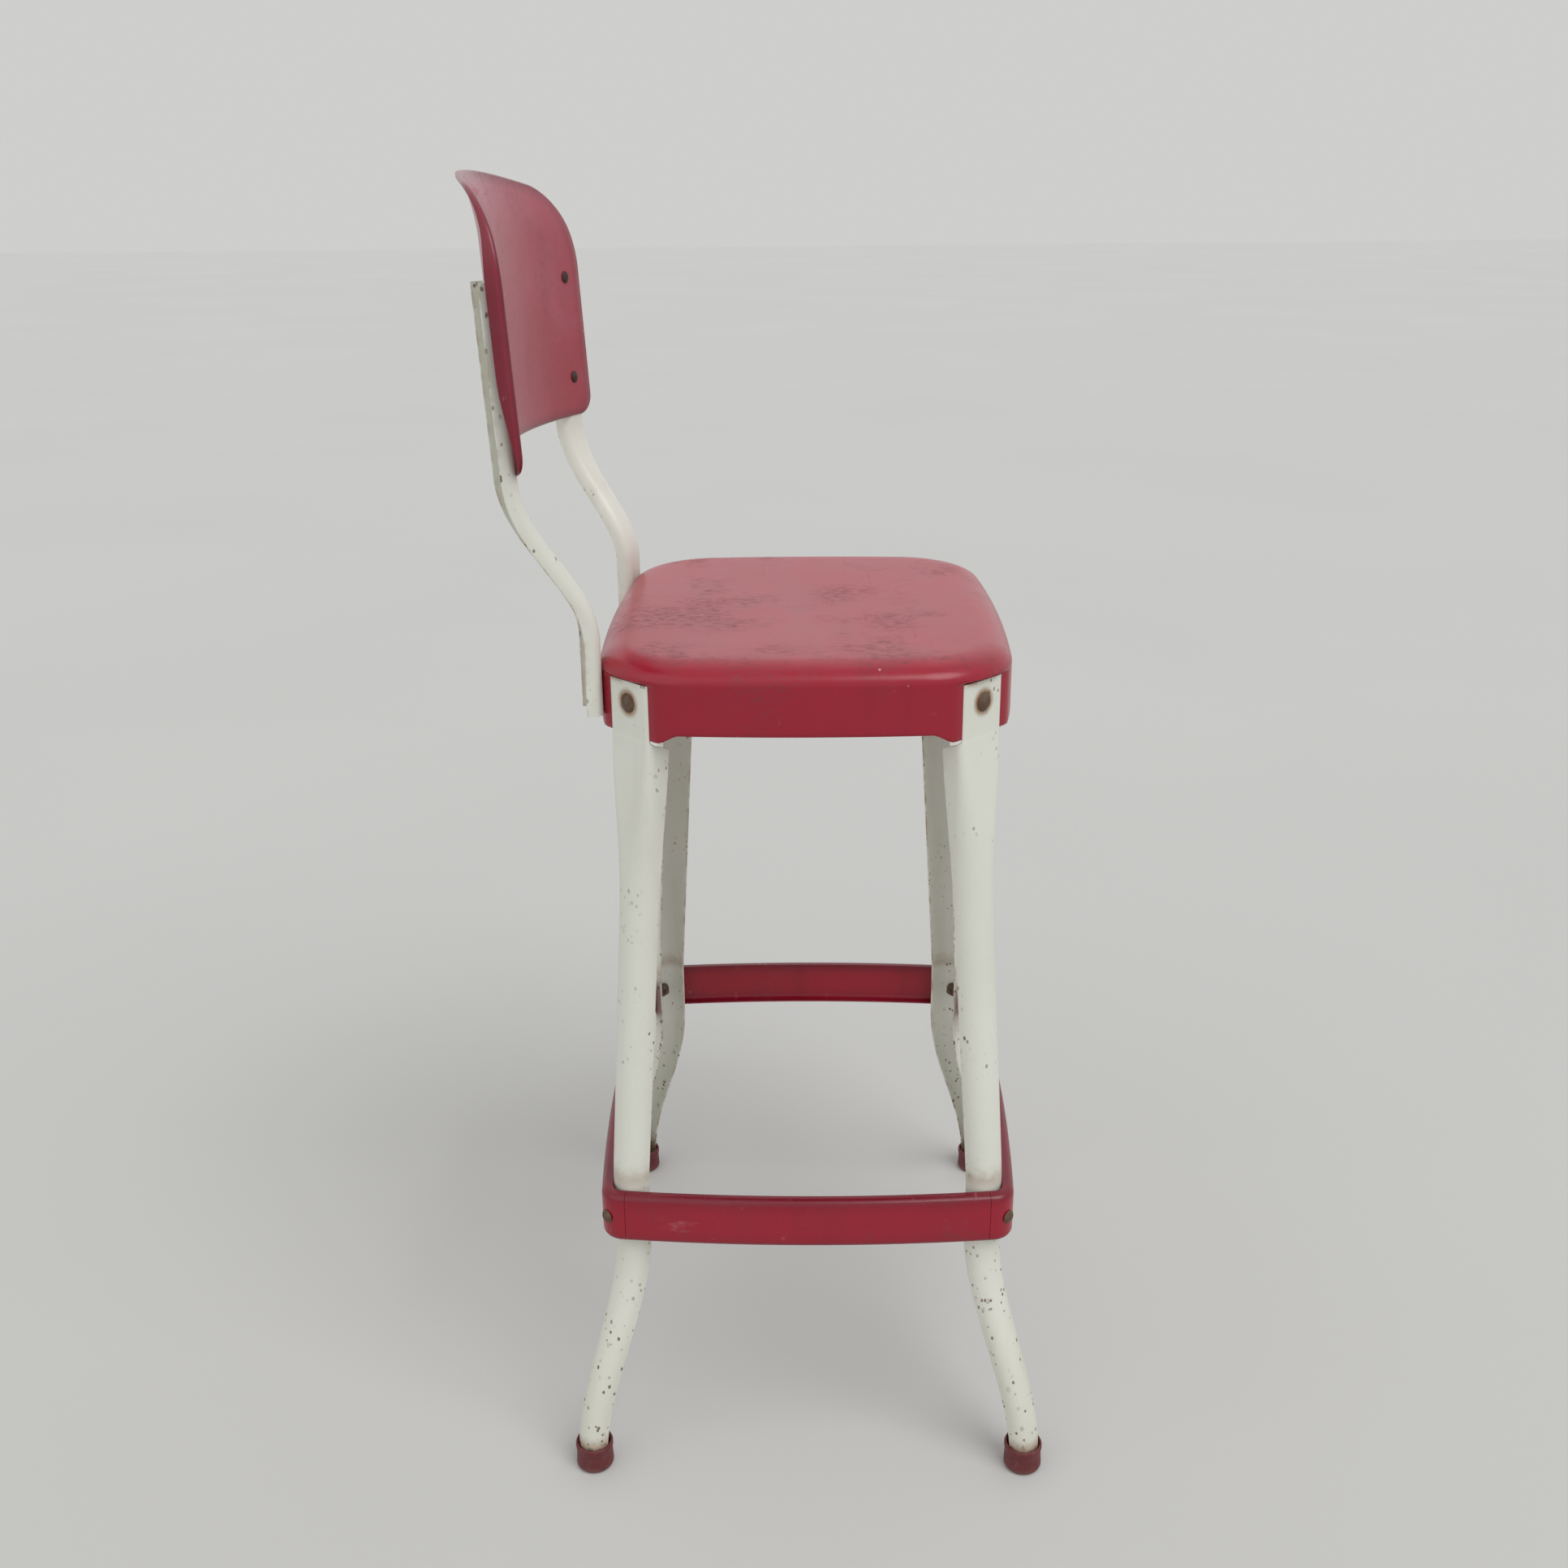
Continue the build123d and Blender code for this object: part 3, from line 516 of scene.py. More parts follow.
def panel_shell():
    """Back panel: rings from the middle of the front face out to the fold, back along the rim, then the same
    rings one sheet behind. The rim is deepest at the sides and runs out at the bottom."""
    points, normal = panel_outline()
    middle = np.array([0, (PANEL_BOTTOM + PANEL_TOP) / 2])
    height = points[:, 1]
    rim = PANEL_RIM_LOW + (PANEL_RIM - PANEL_RIM_LOW) * smooth((height - PANEL_BOTTOM) / PANEL_RIM_GROWTH)
    rim = rim - (PANEL_RIM - PANEL_RIM_TOP) * smooth(normal[:, 1] / 0.9)
    rim = PANEL_FOLD + (rim - PANEL_FOLD) * smooth((normal[:, 1] + 1.0) / 0.5)
    rows = []
    worn_and_shaded = []
    for behind, order in ((0.0, 1), (PAN_SHEET, -1)):
        fold = PANEL_FOLD - behind
        layer = []
        layer_wear_and_shade = []
        inner = points - normal * PANEL_FOLD
        for share in np.concatenate([[0.02, 0.08], np.linspace(0.15, 1, 26)]):
            flat = middle + (inner - middle) * share
            y = panel_front(flat[:, 0], flat[:, 1]) + behind
            layer.append(np.column_stack([flat[:, 0], y, flat[:, 1]]))
            layer_wear_and_shade.append(np.full(len(points), 0.6 * smooth((share - 0.93) / 0.07)))
        # From the fold back along the rim the values rise high, so the red enamel paints fold and rim darker
        # as painted shade. The same values place the rim's nicks and chips.
        for angle in np.radians(np.linspace(0, 90, 7)[1:]):
            flat = inner + normal * fold * math.sin(angle)
            y = panel_front(inner[:, 0], inner[:, 1]) + behind + fold * (1 - math.cos(angle))
            layer.append(np.column_stack([flat[:, 0], y, flat[:, 1]]))
            layer_wear_and_shade.append(np.full(len(points), 0.6 + 0.4 * math.sin(2 * angle)))
        for share in (0.25, 0.5, 0.75, 0.95, 1.0):
            flat = points - normal * behind
            back = PANEL_FOLD + (rim - PANEL_FOLD) * share
            y = panel_front(inner[:, 0], inner[:, 1]) + back
            layer.append(np.column_stack([flat[:, 0], y, flat[:, 1]]))
            layer_wear_and_shade.append(np.full(len(points), 0.85 + 0.15 * share))
        rows += layer[::order]
        worn_and_shaded += layer_wear_and_shade[::order]
    shell = Shell()
    shell.grid(rows, np.array(worn_and_shaded), wrap=True, start_cap=True, end_cap=True)
    return shell


def ring_corner():
    """Outermost point of the foot ring's rear left corner: reach along the diagonal and offset beside it."""
    x, y = bowed_quarter(*RAIL_OUTLINE)[2:4]
    return (x + y) * DIAGONAL + RAIL_CORNER, (y - x) * DIAGONAL


def leg_reach(z):
    """Distance of the leg's crown from the middle along the diagonal: splay down to the ring, then a kick."""
    splay = (ring_corner()[0] - RING_SEAT - TAB_REACH) * between(z, TAB_FOOT, LEG_RING_Z)
    kick = LEG_KICK * smooth(between(z, LEG_KICK_Z, LEG_FOOT_Z))
    return TAB_REACH + splay + kick


def leg_eased(z):
    """Crown distance with its changes of slope rounded, as a mean over a short stretch of leg."""
    shifts = np.linspace(-LEG_EASE, LEG_EASE, 9)
    eased = np.mean([leg_reach(z + shift) for shift in shifts], axis=0)
    return np.where(z > TAB_FOOT, TAB_REACH, eased)


def leg_width(z):
    """Width of the leg channel at a height."""
    width = TAB_WIDTH - (TAB_WIDTH - LEG_MID_WIDTH) * smooth(between(z, TAB_FOOT, LEG_MID_Z))
    width = width - (LEG_MID_WIDTH - LEG_RING_WIDTH) * between(z, LEG_MID_Z, LEG_RING_Z)
    return width - (LEG_RING_WIDTH - LEG_FOOT_WIDTH) * between(z, LEG_KICK_Z, TIP_HEIGHT)


def on_diagonal(reach, z):
    """Points on the middle of the rear left leg, which runs from the seat's corner to the ring's corner."""
    reach = np.asarray(reach, dtype=float)
    side = TAB_SIDE + (ring_corner()[1] - TAB_SIDE) * between(z, TAB_FOOT, LEG_RING_Z)
    return np.stack([(reach - side) * DIAGONAL, (reach + side) * DIAGONAL, z + 0 * reach], axis=-1)


def leg_shell():
    """Rear left leg: a U section carried down the leg line, its flanges cut back to the tab at the top.
    The rows lie closest where the flanges begin."""
    tab_rows = np.linspace(TAB_TOP - 1.2, TAB_FOOT + 12, 8)
    flange_rows = np.linspace(TAB_FOOT + 10, TAB_FOOT - 16, 27)
    leg_rows = np.linspace(TAB_FOOT - 19, LEG_END_Z, 178)
    z = np.concatenate([[TAB_TOP, TAB_TOP - 0.4], tab_rows, flange_rows, leg_rows])
    width = leg_width(z)
    depth = LEG_DEPTH - (LEG_DEPTH - LEG_FOOT_DEPTH) * between(z, LEG_KICK_Z, TIP_HEIGHT)
    round_radius = (width - LEG_CROWN_FLAT) / 2
    corner = TAB_CORNER + (round_radius - TAB_CORNER) * smooth(between(z, TAB_FOOT, LEG_MID_Z))
    run = width / 2 - corner
    full = run + corner * math.pi / 2 + depth - corner
    tab = run + corner * math.radians(TAB_FOLD_DEGREES)
    reach = tab + (full - tab) * smooth(between(z, TAB_FOOT + 1, TAB_FOOT + 1 - FLANGE_RUN))
    loop = channel_loop(width, depth, corner, LEG_SHEET, reach)
    across = np.tile([DIAGONAL, -DIAGONAL, 0], (len(z), 1))
    facing = np.tile([DIAGONAL, DIAGONAL, 0], (len(z), 1))
    rows = carry(loop, on_diagonal(leg_eased(z), z), across, facing)
    edge = edge_wear(loop.shape[1])
    wear_and_shade = np.maximum(edge[None, :], smooth((z - TAB_TOP + 6) / 6)[:, None])
    shell = Shell()
    shell.grid(rows[:, ::-1], wear_and_shade[:, ::-1], wrap=True, start_cap=True, end_cap=True)
    return shell


def rail_section():
    """Closed C section of a rail as inset and height: outer line from lip to lip, then one sheet inside."""
    low = RAIL_BOTTOM
    high = RAIL_BOTTOM + RAIL_HEIGHT
    r = RAIL_EDGE
    outer = [(RAIL_LIP, high), (RAIL_LIP * 0.8, high)]
    outer += arc((r, high - r), r, 90, 180, 8).tolist()
    outer += [(0.0, high - r - share * (RAIL_HEIGHT - 2 * r)) for share in (0.25, 0.5, 0.75)]
    outer += arc((r, low + r), r, 180, 270, 8).tolist()
    outer += [(RAIL_LIP * 0.8, low), (RAIL_LIP, low)]
    t = PAN_SHEET
    inner = [(RAIL_LIP, low + t), (RAIL_LIP * 0.8, low + t)]
    inner += arc((r, low + r), r - t, 270, 180, 8).tolist()
    inner += [(t, low + r + share * (RAIL_HEIGHT - 2 * r)) for share in (0.25, 0.5, 0.75)]
    inner += arc((r, high - r), r - t, 180, 90, 8).tolist()
    inner += [(RAIL_LIP * 0.8, high - t), (RAIL_LIP, high - t)]
    edge = RAIL_LIP + RAIL_LIP_ROUND
    return np.array(outer + [(edge, low + t / 2)] + inner + [(edge, high - t / 2)])


def along_rail(points, normal, section):
    """A section of inset and height carried along a stretch of the ring."""
    place = points[:, None, :] - normal[:, None, :] * section[None, :, 0:1]
    height = np.broadcast_to(section[None, :, 1:2], place.shape[:2] + (1,))
    return np.concatenate([place, height], axis=-1)


def rail_wear_and_shade(section, count):
    """Wear and painted-shade mask of a rail: strongest on its two rounded edges, more on the upper one."""
    middle = RAIL_BOTTOM + RAIL_HEIGHT / 2
    away = np.abs(section[:, 1] - middle) / (RAIL_HEIGHT / 2)
    worn_and_shaded = smooth((away - 0.62) / 0.3) * np.where(section[:, 1] > middle, 1.0, 0.6)
    return np.tile(worn_and_shaded, (count, 1))


def rear_rail_shell():
    """Rear rail: from a seam on one side, round both corners, to the seam on the other side."""
    side = bowed_quarter(*RAIL_OUTLINE)[0]
    start = math.asin((SEAM_Y + SEAM_GAP / 2) / side)
    turns = quarter_turns(*RAIL_OUTLINE, start=start, steps=(4, 22, 40))
    points, normal = mirror_rows(*bowed_points(*RAIL_OUTLINE, turns))
    section = rail_section()
    shell = Shell()
    shell.grid(along_rail(points, normal, section), rail_wear_and_shade(section, len(points)), True, True, True)
    return shell


def side_rail_shell():
    """Left rail: seam to seam, with a tongue at each end that follows the inside of the corner."""
    quarter = bowed_quarter(*RAIL_OUTLINE)
    side = quarter[0]
    first = quarter[4]
    end = math.asin((SEAM_Y - SEAM_GAP / 2) / side)
    points, normal = bowed_points(*RAIL_OUTLINE, np.linspace(-end, end, 70))
    section = rail_section()
    shell = Shell()
    shell.grid(along_rail(points, normal, section), rail_wear_and_shade(section, len(points)), True, True, True)
    middle = RAIL_BOTTOM + RAIL_HEIGHT / 2
    high = middle + TONGUE_HEIGHT / 2
    low = middle - TONGUE_HEIGHT / 2
    outer = PAN_SHEET + LAP_GAP
    inner = outer + PAN_SHEET
    strip = np.array([(outer, high), (outer, low), (inner, low), (inner, high)])
    begin = math.asin((SEAM_Y - TONGUE_LAP) / side)
    straight = np.linspace(begin, first, 8, endpoint=False)
    turns = np.concatenate([straight, np.linspace(first, TONGUE_TURN, 20)])
    points, normal = bowed_points(*RAIL_OUTLINE, turns)
    tongue = along_rail(points, normal, strip)
    shell.grid(tongue, None, True, True, True)
    shell.grid((tongue * (1, -1, 1))[::-1], None, True, True, True)
    return shell


def tip_shell():
    """Rear left rubber tip: a turned cup with a rounded foot, a bead at its mouth and a hollow inside."""
    cavity = TIP_RADIUS - TIP_WALL
    waist = TIP_RADIUS - TIP_WAIST
    profile = [(AXIS_RADIUS, 0.0), (6.0, 0.0), (TIP_RADIUS - TIP_ROUND - 0.8, 0.0)]
    profile += arc((TIP_RADIUS - TIP_ROUND, TIP_ROUND), TIP_ROUND, -90, 0, 8).tolist()
    profile += [(TIP_RADIUS - TIP_WAIST / 2, 7.0), (waist, 12.0), (waist, TIP_BEAD_Z)]
    profile += [(TIP_RADIUS - 0.15, TIP_BEAD_Z + 0.8), (TIP_RADIUS, TIP_BEAD_Z + 1.8)]
    profile += [(TIP_RADIUS, TIP_BEAD_Z + 4.0), (TIP_RADIUS - 0.35, TIP_HEIGHT - 0.5)]
    profile += [(TIP_RADIUS - TIP_MOUTH_ROUND, TIP_HEIGHT), (cavity + 0.2, TIP_HEIGHT - 0.2)]
    profile += [(cavity, TIP_HEIGHT - 0.8), (cavity, TIP_FLOOR + 0.5)]
    profile += [(cavity - 0.6, TIP_FLOOR), (4.0, TIP_FLOOR), (AXIS_RADIUS, TIP_FLOOR)]
    foot = on_diagonal(leg_reach(0.0) - LEG_FOOT_WIDTH / 2, 0.0)
    rows = lathe(profile, foot, (0, 0, 1), 64)
    shell = Shell()
    shell.grid(rows, None, True, True, True)
    return shell


def upright_places():
    """Path of the left upright: up the seat's corner, a smooth bend back, then up the back of the panel."""
    x, y = bowed_quarter(*SEAT_OUTLINE)[2:4]
    turn = UPRIGHT_SEAT_TURN
    radius = SEAT_CORNER + LAP_GAP
    low = np.array([x + radius * math.sin(turn), y + radius * math.cos(turn), UPRIGHT_BOTTOM])
    bend_low = np.array([low[0], low[1], UPRIGHT_BEND_LOW])
    bend_high = panel_place(UPRIGHT_BEND_HIGH, PAN_SHEET + LAP_GAP)
    top = panel_place(UPRIGHT_TOP, PAN_SHEET + LAP_GAP)
    rise = unit(top - bend_high)
    t = np.linspace(0, 1, 60)[1:-1, None]
    second = bend_low + (0, 0, UPRIGHT_BEND_PULL)
    third = bend_high - rise * UPRIGHT_BEND_PULL
    bend = (1 - t) ** 3 * bend_low + 3 * t * (1 - t) ** 2 * second
    bend = bend + 3 * t * t * (1 - t) * third + t ** 3 * bend_high
    low_run = low + (bend_low - low) * np.linspace(0, 1, 20)[:, None]
    high_run = bend_high + (top - bend_high) * np.linspace(0, 1, 30)[:, None]
    share = np.concatenate([np.zeros(20), t[:, 0], np.ones(30)])
    return np.concatenate([low_run, bend, high_run]), share


def panel_normal():
    """Backward normal of the panel at the left upright."""
    flat = math.cos(PANEL_LEAN)
    turn = UPRIGHT_PANEL_TURN
    return np.array([math.sin(turn) * flat, math.cos(turn) * flat, -math.sin(PANEL_LEAN)])


def panel_place(z, behind):
    """Point at the left upright, a distance behind the panel's front, below the flare."""
    radius = panel_radius(z)
    turn = UPRIGHT_PANEL_TURN
    front = np.array([radius * math.sin(turn), PANEL_AXIS_Y + radius * math.cos(turn), z])
    return front + panel_normal() * behind


def upright_shell():
    """Left upright: a U section carried along its path, turned from the seat's angle to the panel's."""
    places, share = upright_places()
    along = unit(np.gradient(places, axis=0))
    turn = UPRIGHT_SEAT_TURN + (UPRIGHT_PANEL_TURN - UPRIGHT_SEAT_TURN) * smooth(share)
    across = np.column_stack([-np.cos(turn), np.sin(turn), np.zeros(len(turn))])
    across = unit(across - along * np.sum(across * along, axis=1, keepdims=True))
    facing = np.cross(along, across)
    corner = UPRIGHT_CORNER + UPRIGHT_ROUND * np.sin(math.pi * share) ** 2
    width = np.full(len(share), UPRIGHT_WIDTH)
    depth = np.full(len(share), UPRIGHT_DEPTH)
    loop = channel_loop(width, depth, corner, LEG_SHEET)
    rows = carry(loop, places, across, facing)
    edge = edge_wear(loop.shape[1])
    shell = Shell()
    shell.grid(rows, np.tile(edge, (len(share), 1)), True, True, True)
    return shell


def dome_line(radius, rise, base):
    """Profile of a domed head from its middle to its rim, with a small upright edge."""
    crown = rise - HEAD_EDGE
    ball = (radius ** 2 + crown ** 2) / (2 * crown)
    r = np.concatenate([[AXIS_RADIUS], np.linspace(0.15, 1, 10) * radius])
    h = rise - ball + np.sqrt(ball ** 2 - r ** 2)
    return [(a, base + b) for a, b in zip(r, h)] + [(radius, base + 0.05)]


def rivet_line(head, rise, shank, grip, tail):
    """Profile of a rivet: domed head, shank, and a tail formed below the grip."""
    line = dome_line(head, rise, 0.0) + [(head - HEAD_UNDERCUT, 0.0), (shank, 0.0), (shank, -grip)]
    below = [(a, -grip - b) for a, b in dome_line(tail, TAIL_RISE, 0.0)]
    return line + [(tail - HEAD_UNDERCUT, -grip)] + below[::-1]


def small_rivet(grip):
    """Profile of the rivets that hold the uprights."""
    return rivet_line(SMALL_RIVET_HEAD, SMALL_RIVET_RISE, SMALL_RIVET_SHANK, grip, SMALL_RIVET_HEAD)


def corner_copies(shell, profile, origin, axis):
    """The same turned fastener at all four corners."""
    rows = lathe(profile, origin, axis, 36)
    for side_x, side_y in CORNERS.values():
        copy = rows * (side_x, side_y, 1)
        shell.grid(copy if side_x * side_y > 0 else copy[:, ::-1], None, True, True, True)


def side_copies(shell, profile, origin, axis):
    """The same turned fastener on the left and right uprights."""
    rows = lathe(profile, origin, axis, 32)
    shell.grid(rows, None, True, True, True)
    shell.grid((rows * (-1, 1, 1))[:, ::-1], None, True, True, True)


def fastener_shells():
    """All rivets, bolts and nuts, each kind in its own shell."""
    outward = (1, 1, 0)
    kinds = ("leg_rivets", "rail_bolts", "rail_nuts", "back_rivets", "upright_rivets")
    shells = {kind: Shell() for kind in kinds}
    grip = LEG_SHEET + LAP_GAP + PAN_SHEET
    rivet = rivet_line(LEG_RIVET_HEAD, LEG_RIVET_RISE, LEG_RIVET_SHANK, grip, LEG_RIVET_TAIL)
    corner_copies(shells["leg_rivets"], rivet, on_diagonal(TAB_REACH, LEG_RIVET_Z), outward)

    seat = ring_corner()[0] + CURVE_GAP
    inside = leg_reach(BOLT_Z) - LEG_SHEET - NUT_SEAT
    end = inside - NUT_RISE - BOLT_END - seat
    bolt = dome_line(BOLT_HEAD, BOLT_HEAD_RISE, 0.0) + [(BOLT_HEAD - HEAD_UNDERCUT, 0.0), (BOLT_SHANK, 0.0)]
    bolt += [(BOLT_SHANK, end + BOLT_CHAMFER), (BOLT_SHANK - BOLT_CHAMFER, end), (AXIS_RADIUS, end)]
    corner_copies(shells["rail_bolts"], bolt, on_diagonal(seat, BOLT_Z), outward)

    hole = BOLT_SHANK + NUT_GAP
    domed = [(r, -h) for r, h in dome_line(NUT_RADIUS, NUT_RISE, 0.0) if r > hole]
    nut = [(hole, 0.0)] + domed[::-1] + [(hole, domed[0][1])]
    corner_copies(shells["rail_nuts"], nut[::-1], on_diagonal(inside, BOLT_Z), outward)

    x, y = bowed_quarter(*SEAT_OUTLINE)[2:4]
    normal = np.array([math.sin(UPRIGHT_SEAT_TURN), math.cos(UPRIGHT_SEAT_TURN), 0])
    outside = LAP_GAP + LEG_SHEET
    small = small_rivet(outside + PAN_SHEET + CURVE_GAP)
    for z in UPRIGHT_RIVET_Z:
        place = np.array([x, y, z]) + normal * (SEAT_CORNER + outside)
        side_copies(shells["upright_rivets"], small, place, normal)
    small = small_rivet(CURVE_GAP + PAN_SHEET + 2 * LAP_GAP + LEG_SHEET)
    for z in PANEL_RIVET_Z:
        side_copies(shells["back_rivets"], small, panel_place(z, -CURVE_GAP), -panel_normal())
    return shells


# Finishes: colours in linear red, green and blue

RED_DEEP = (0.26, 0.005, 0.017)
RED_BRIGHT = (0.37, 0.009, 0.030)
RED_STREAK = (0.17, 0.006, 0.016)
# Faded paint with painted sheen: the pale pink on the seat's top stands partly for fading and partly for
# reflection.
RED_FADE_AND_SHEEN = (0.41, 0.045, 0.066)
# Painted sheen: pale greyish pink laid on the panel's face in place of its reflection.
RED_PANEL_SHEEN = (0.40, 0.095, 0.150)
# Painted shade: dark maroon laid on rounded edges and on the panel's rim.
RED_EDGE_SHADE = (0.105, 0.004, 0.014)
RED_SCRATCH = (0.50, 0.19, 0.20)
RED_GRIME = (0.105, 0.045, 0.050)
PALE_NICK = (0.60, 0.47, 0.45)
BARE_CHIP = (0.085, 0.060, 0.050)
CREAM_DEEP = (0.660, 0.665, 0.585)
CREAM_BRIGHT = (0.760, 0.768, 0.705)
CREAM_STREAK = (0.55, 0.52, 0.42)
CREAM_FOOT = (0.50, 0.475, 0.37)
CREAM_GRIME = (0.40, 0.37, 0.30)
RUST_STAIN = (0.30, 0.150, 0.062)
RUST_DARK = (0.120, 0.062, 0.034)
STEEL_BARE = (0.150, 0.110, 0.080)
STEEL_RUST = (0.120, 0.058, 0.030)
STEEL_GRAIN = (0.060, 0.032, 0.021)
STEEL_DARK = (0.020, 0.010, 0.010)
RUBBER_DEEP = (0.085, 0.007, 0.011)
RUBBER_BRIGHT = (0.150, 0.016, 0.020)
RUBBER_DUST = (0.24, 0.15, 0.13)
RUBBER_CRACK = (0.03, 0.004, 0.006)
FLOOR_DEEP = (0.540, 0.540, 0.530)
FLOOR_BRIGHT = (0.585, 0.585, 0.575)
SKY_COLOUR = (0.90, 0.90, 0.885, 1)
REFLECTED_COLOUR = (0.82, 0.83, 0.83, 1)
SEEN_COLOUR = (0.62, 0.62, 0.61, 1)

# Lengths for the finishes and the stage, in metres
RING_TOP = (RAIL_BOTTOM + RAIL_HEIGHT) * MM
TIP_TOP = TIP_HEIGHT * MM
# Heights in metres over which the seat top's fade and painted sheen come in.
FADE_SHEEN_LOW = (SEAT_TOP - 4.5) * MM
FADE_SHEEN_HIGH = (SEAT_TOP - 0.8) * MM
# Heights in metres over which the panel's painted sheen grows toward the top.
PANEL_SHEEN_LOW = 0.84
PANEL_SHEEN_HIGH = 0.91
FLOOR_HALF = 30.0

class Field:
    """A shader value. Arithmetic on it adds Math nodes to its material."""

    def __init__(self, paint, socket):
        self.paint = paint
        self.socket = socket

    def math(self, operation, first, second):
        return self.paint.node("ShaderNodeMath", {"operation": operation}, {0: first, 1: second})

    def __add__(self, other):
        return self.math("ADD", self, other)

    def __radd__(self, other):
        return self.math("ADD", other, self)

    def __sub__(self, other):
        return self.math("SUBTRACT", self, other)

    def __rsub__(self, other):
        return self.math("SUBTRACT", other, self)

    def __mul__(self, other):
        return self.math("MULTIPLY", self, other)

    def __rmul__(self, other):
        return self.math("MULTIPLY", other, self)

    def __pow__(self, other):
        return self.math("POWER", self, other)

    def most(self, other):
        return self.math("MAXIMUM", self, other)


class Paint:
    """One material: its nodes come from one method, its patterns from Object coordinates."""

    def __init__(self, name):
        self.material = bpy.data.materials.new(name)
        self.material.use_nodes = True
        self.tree = self.material.node_tree
        self.shader = self.tree.nodes["Principled BSDF"]
        self.place = self.node("ShaderNodeTexCoord", {}, {}, "Object")

    def node(self, kind, settings, inputs, output=0):
        """Adds a node, sets its settings and then its sockets, and returns one output."""
        node = self.tree.nodes.new(kind)
        for key, value in settings.items():
            setattr(node, key, value)
        for key, value in inputs.items():
            self.feed(node.inputs[key], value)
        return Field(self, node.outputs[output])

    def feed(self, socket, value):
        """Links a field to a socket or sets a plain value on it."""
        if isinstance(value, Field):
            self.tree.links.new(value.socket, socket)
        elif isinstance(value, tuple) and len(value) == 3 and socket.type == "RGBA":
            socket.default_value = (*value, 1)
        else:
            socket.default_value = value

    def moved(self, stretch, shift):
        """Object coordinates stretched and shifted."""
        inputs = {"Vector": self.place, "Scale": stretch, "Location": shift}
        return self.node("ShaderNodeMapping", {}, inputs, "Vector")

    def noise(self, scale, detail=4.0, rough=0.55, stretch=(1, 1, 1), shift=(0, 0, 0), warp=0.0):
        """Cloudy noise from 0 to 1, scale in patches per metre."""
        inputs = {"Vector": self.moved(stretch, shift), "Scale": scale, "Detail": detail}
        inputs.update({"Roughness": rough, "Distortion": warp})
        return self.node("ShaderNodeTexNoise", {}, inputs, 0)

    def spots(self, scale, shift=(0, 0, 0), stretch=(1, 1, 1)):
        """Distance from scattered points, in units of their spacing."""
        inputs = {"Vector": self.moved(stretch, shift), "Scale": scale, "Randomness": 1.0}
        return self.node("ShaderNodeTexVoronoi", {}, inputs, "Distance")

    def step(self, field, low, high):
        """Smooth ramp of a value from 0 at low to 1 at high."""
        inputs = {"Value": field, "From Min": low, "From Max": high}
        return self.node("ShaderNodeMapRange", {"interpolation_type": "SMOOTHSTEP"}, inputs, 0)

    def mix(self, share, first, second):
        """Colour between two colours."""
        return self.node("ShaderNodeMix", {"data_type": "RGBA"}, {0: share, 6: first, 7: second}, 2)

    def axis(self, letter):
        """One Object coordinate in metres."""
        return self.node("ShaderNodeSeparateXYZ", {}, {0: self.place}, letter)

    def close(self, place, far, near):
        """1 near a place or its mirror images about the stool's middle, 0 past the far distance."""
        middle = {0: self.place, 1: (0.0, CENTRE_Y, 0.0)}
        offset = self.node("ShaderNodeVectorMath", {"operation": "SUBTRACT"}, middle)
        folded = self.node("ShaderNodeVectorMath", {"operation": "ABSOLUTE"}, {0: offset})
        away = self.node("ShaderNodeVectorMath", {"operation": "DISTANCE"}, {0: folded, 1: place}, "Value")
        return self.step(away, far, near)

    def worn_and_shaded(self):
        """The piece's own value for wear and, on red enamel, painted shade at edges."""
        return self.node("ShaderNodeAttribute", {"attribute_name": "wear_and_shade"}, {}, "Fac")

    def bump(self, height, strength, distance):
        """Feeds a height to the shader's normal."""
        inputs = {"Height": height, "Strength": strength, "Distance": distance}
        self.feed(self.shader.inputs["Normal"], self.node("ShaderNodeBump", {}, inputs, 0))

    def finish(self, colour, rough, **constants):
        """Feeds colour and roughness; the rest are plain numbers on the shader."""
        self.feed(self.shader.inputs["Base Color"], colour)
        self.feed(self.shader.inputs["Roughness"], rough)
        for key, value in constants.items():
            self.feed(self.shader.inputs[key.replace("_", " ")], value)
        return self.material


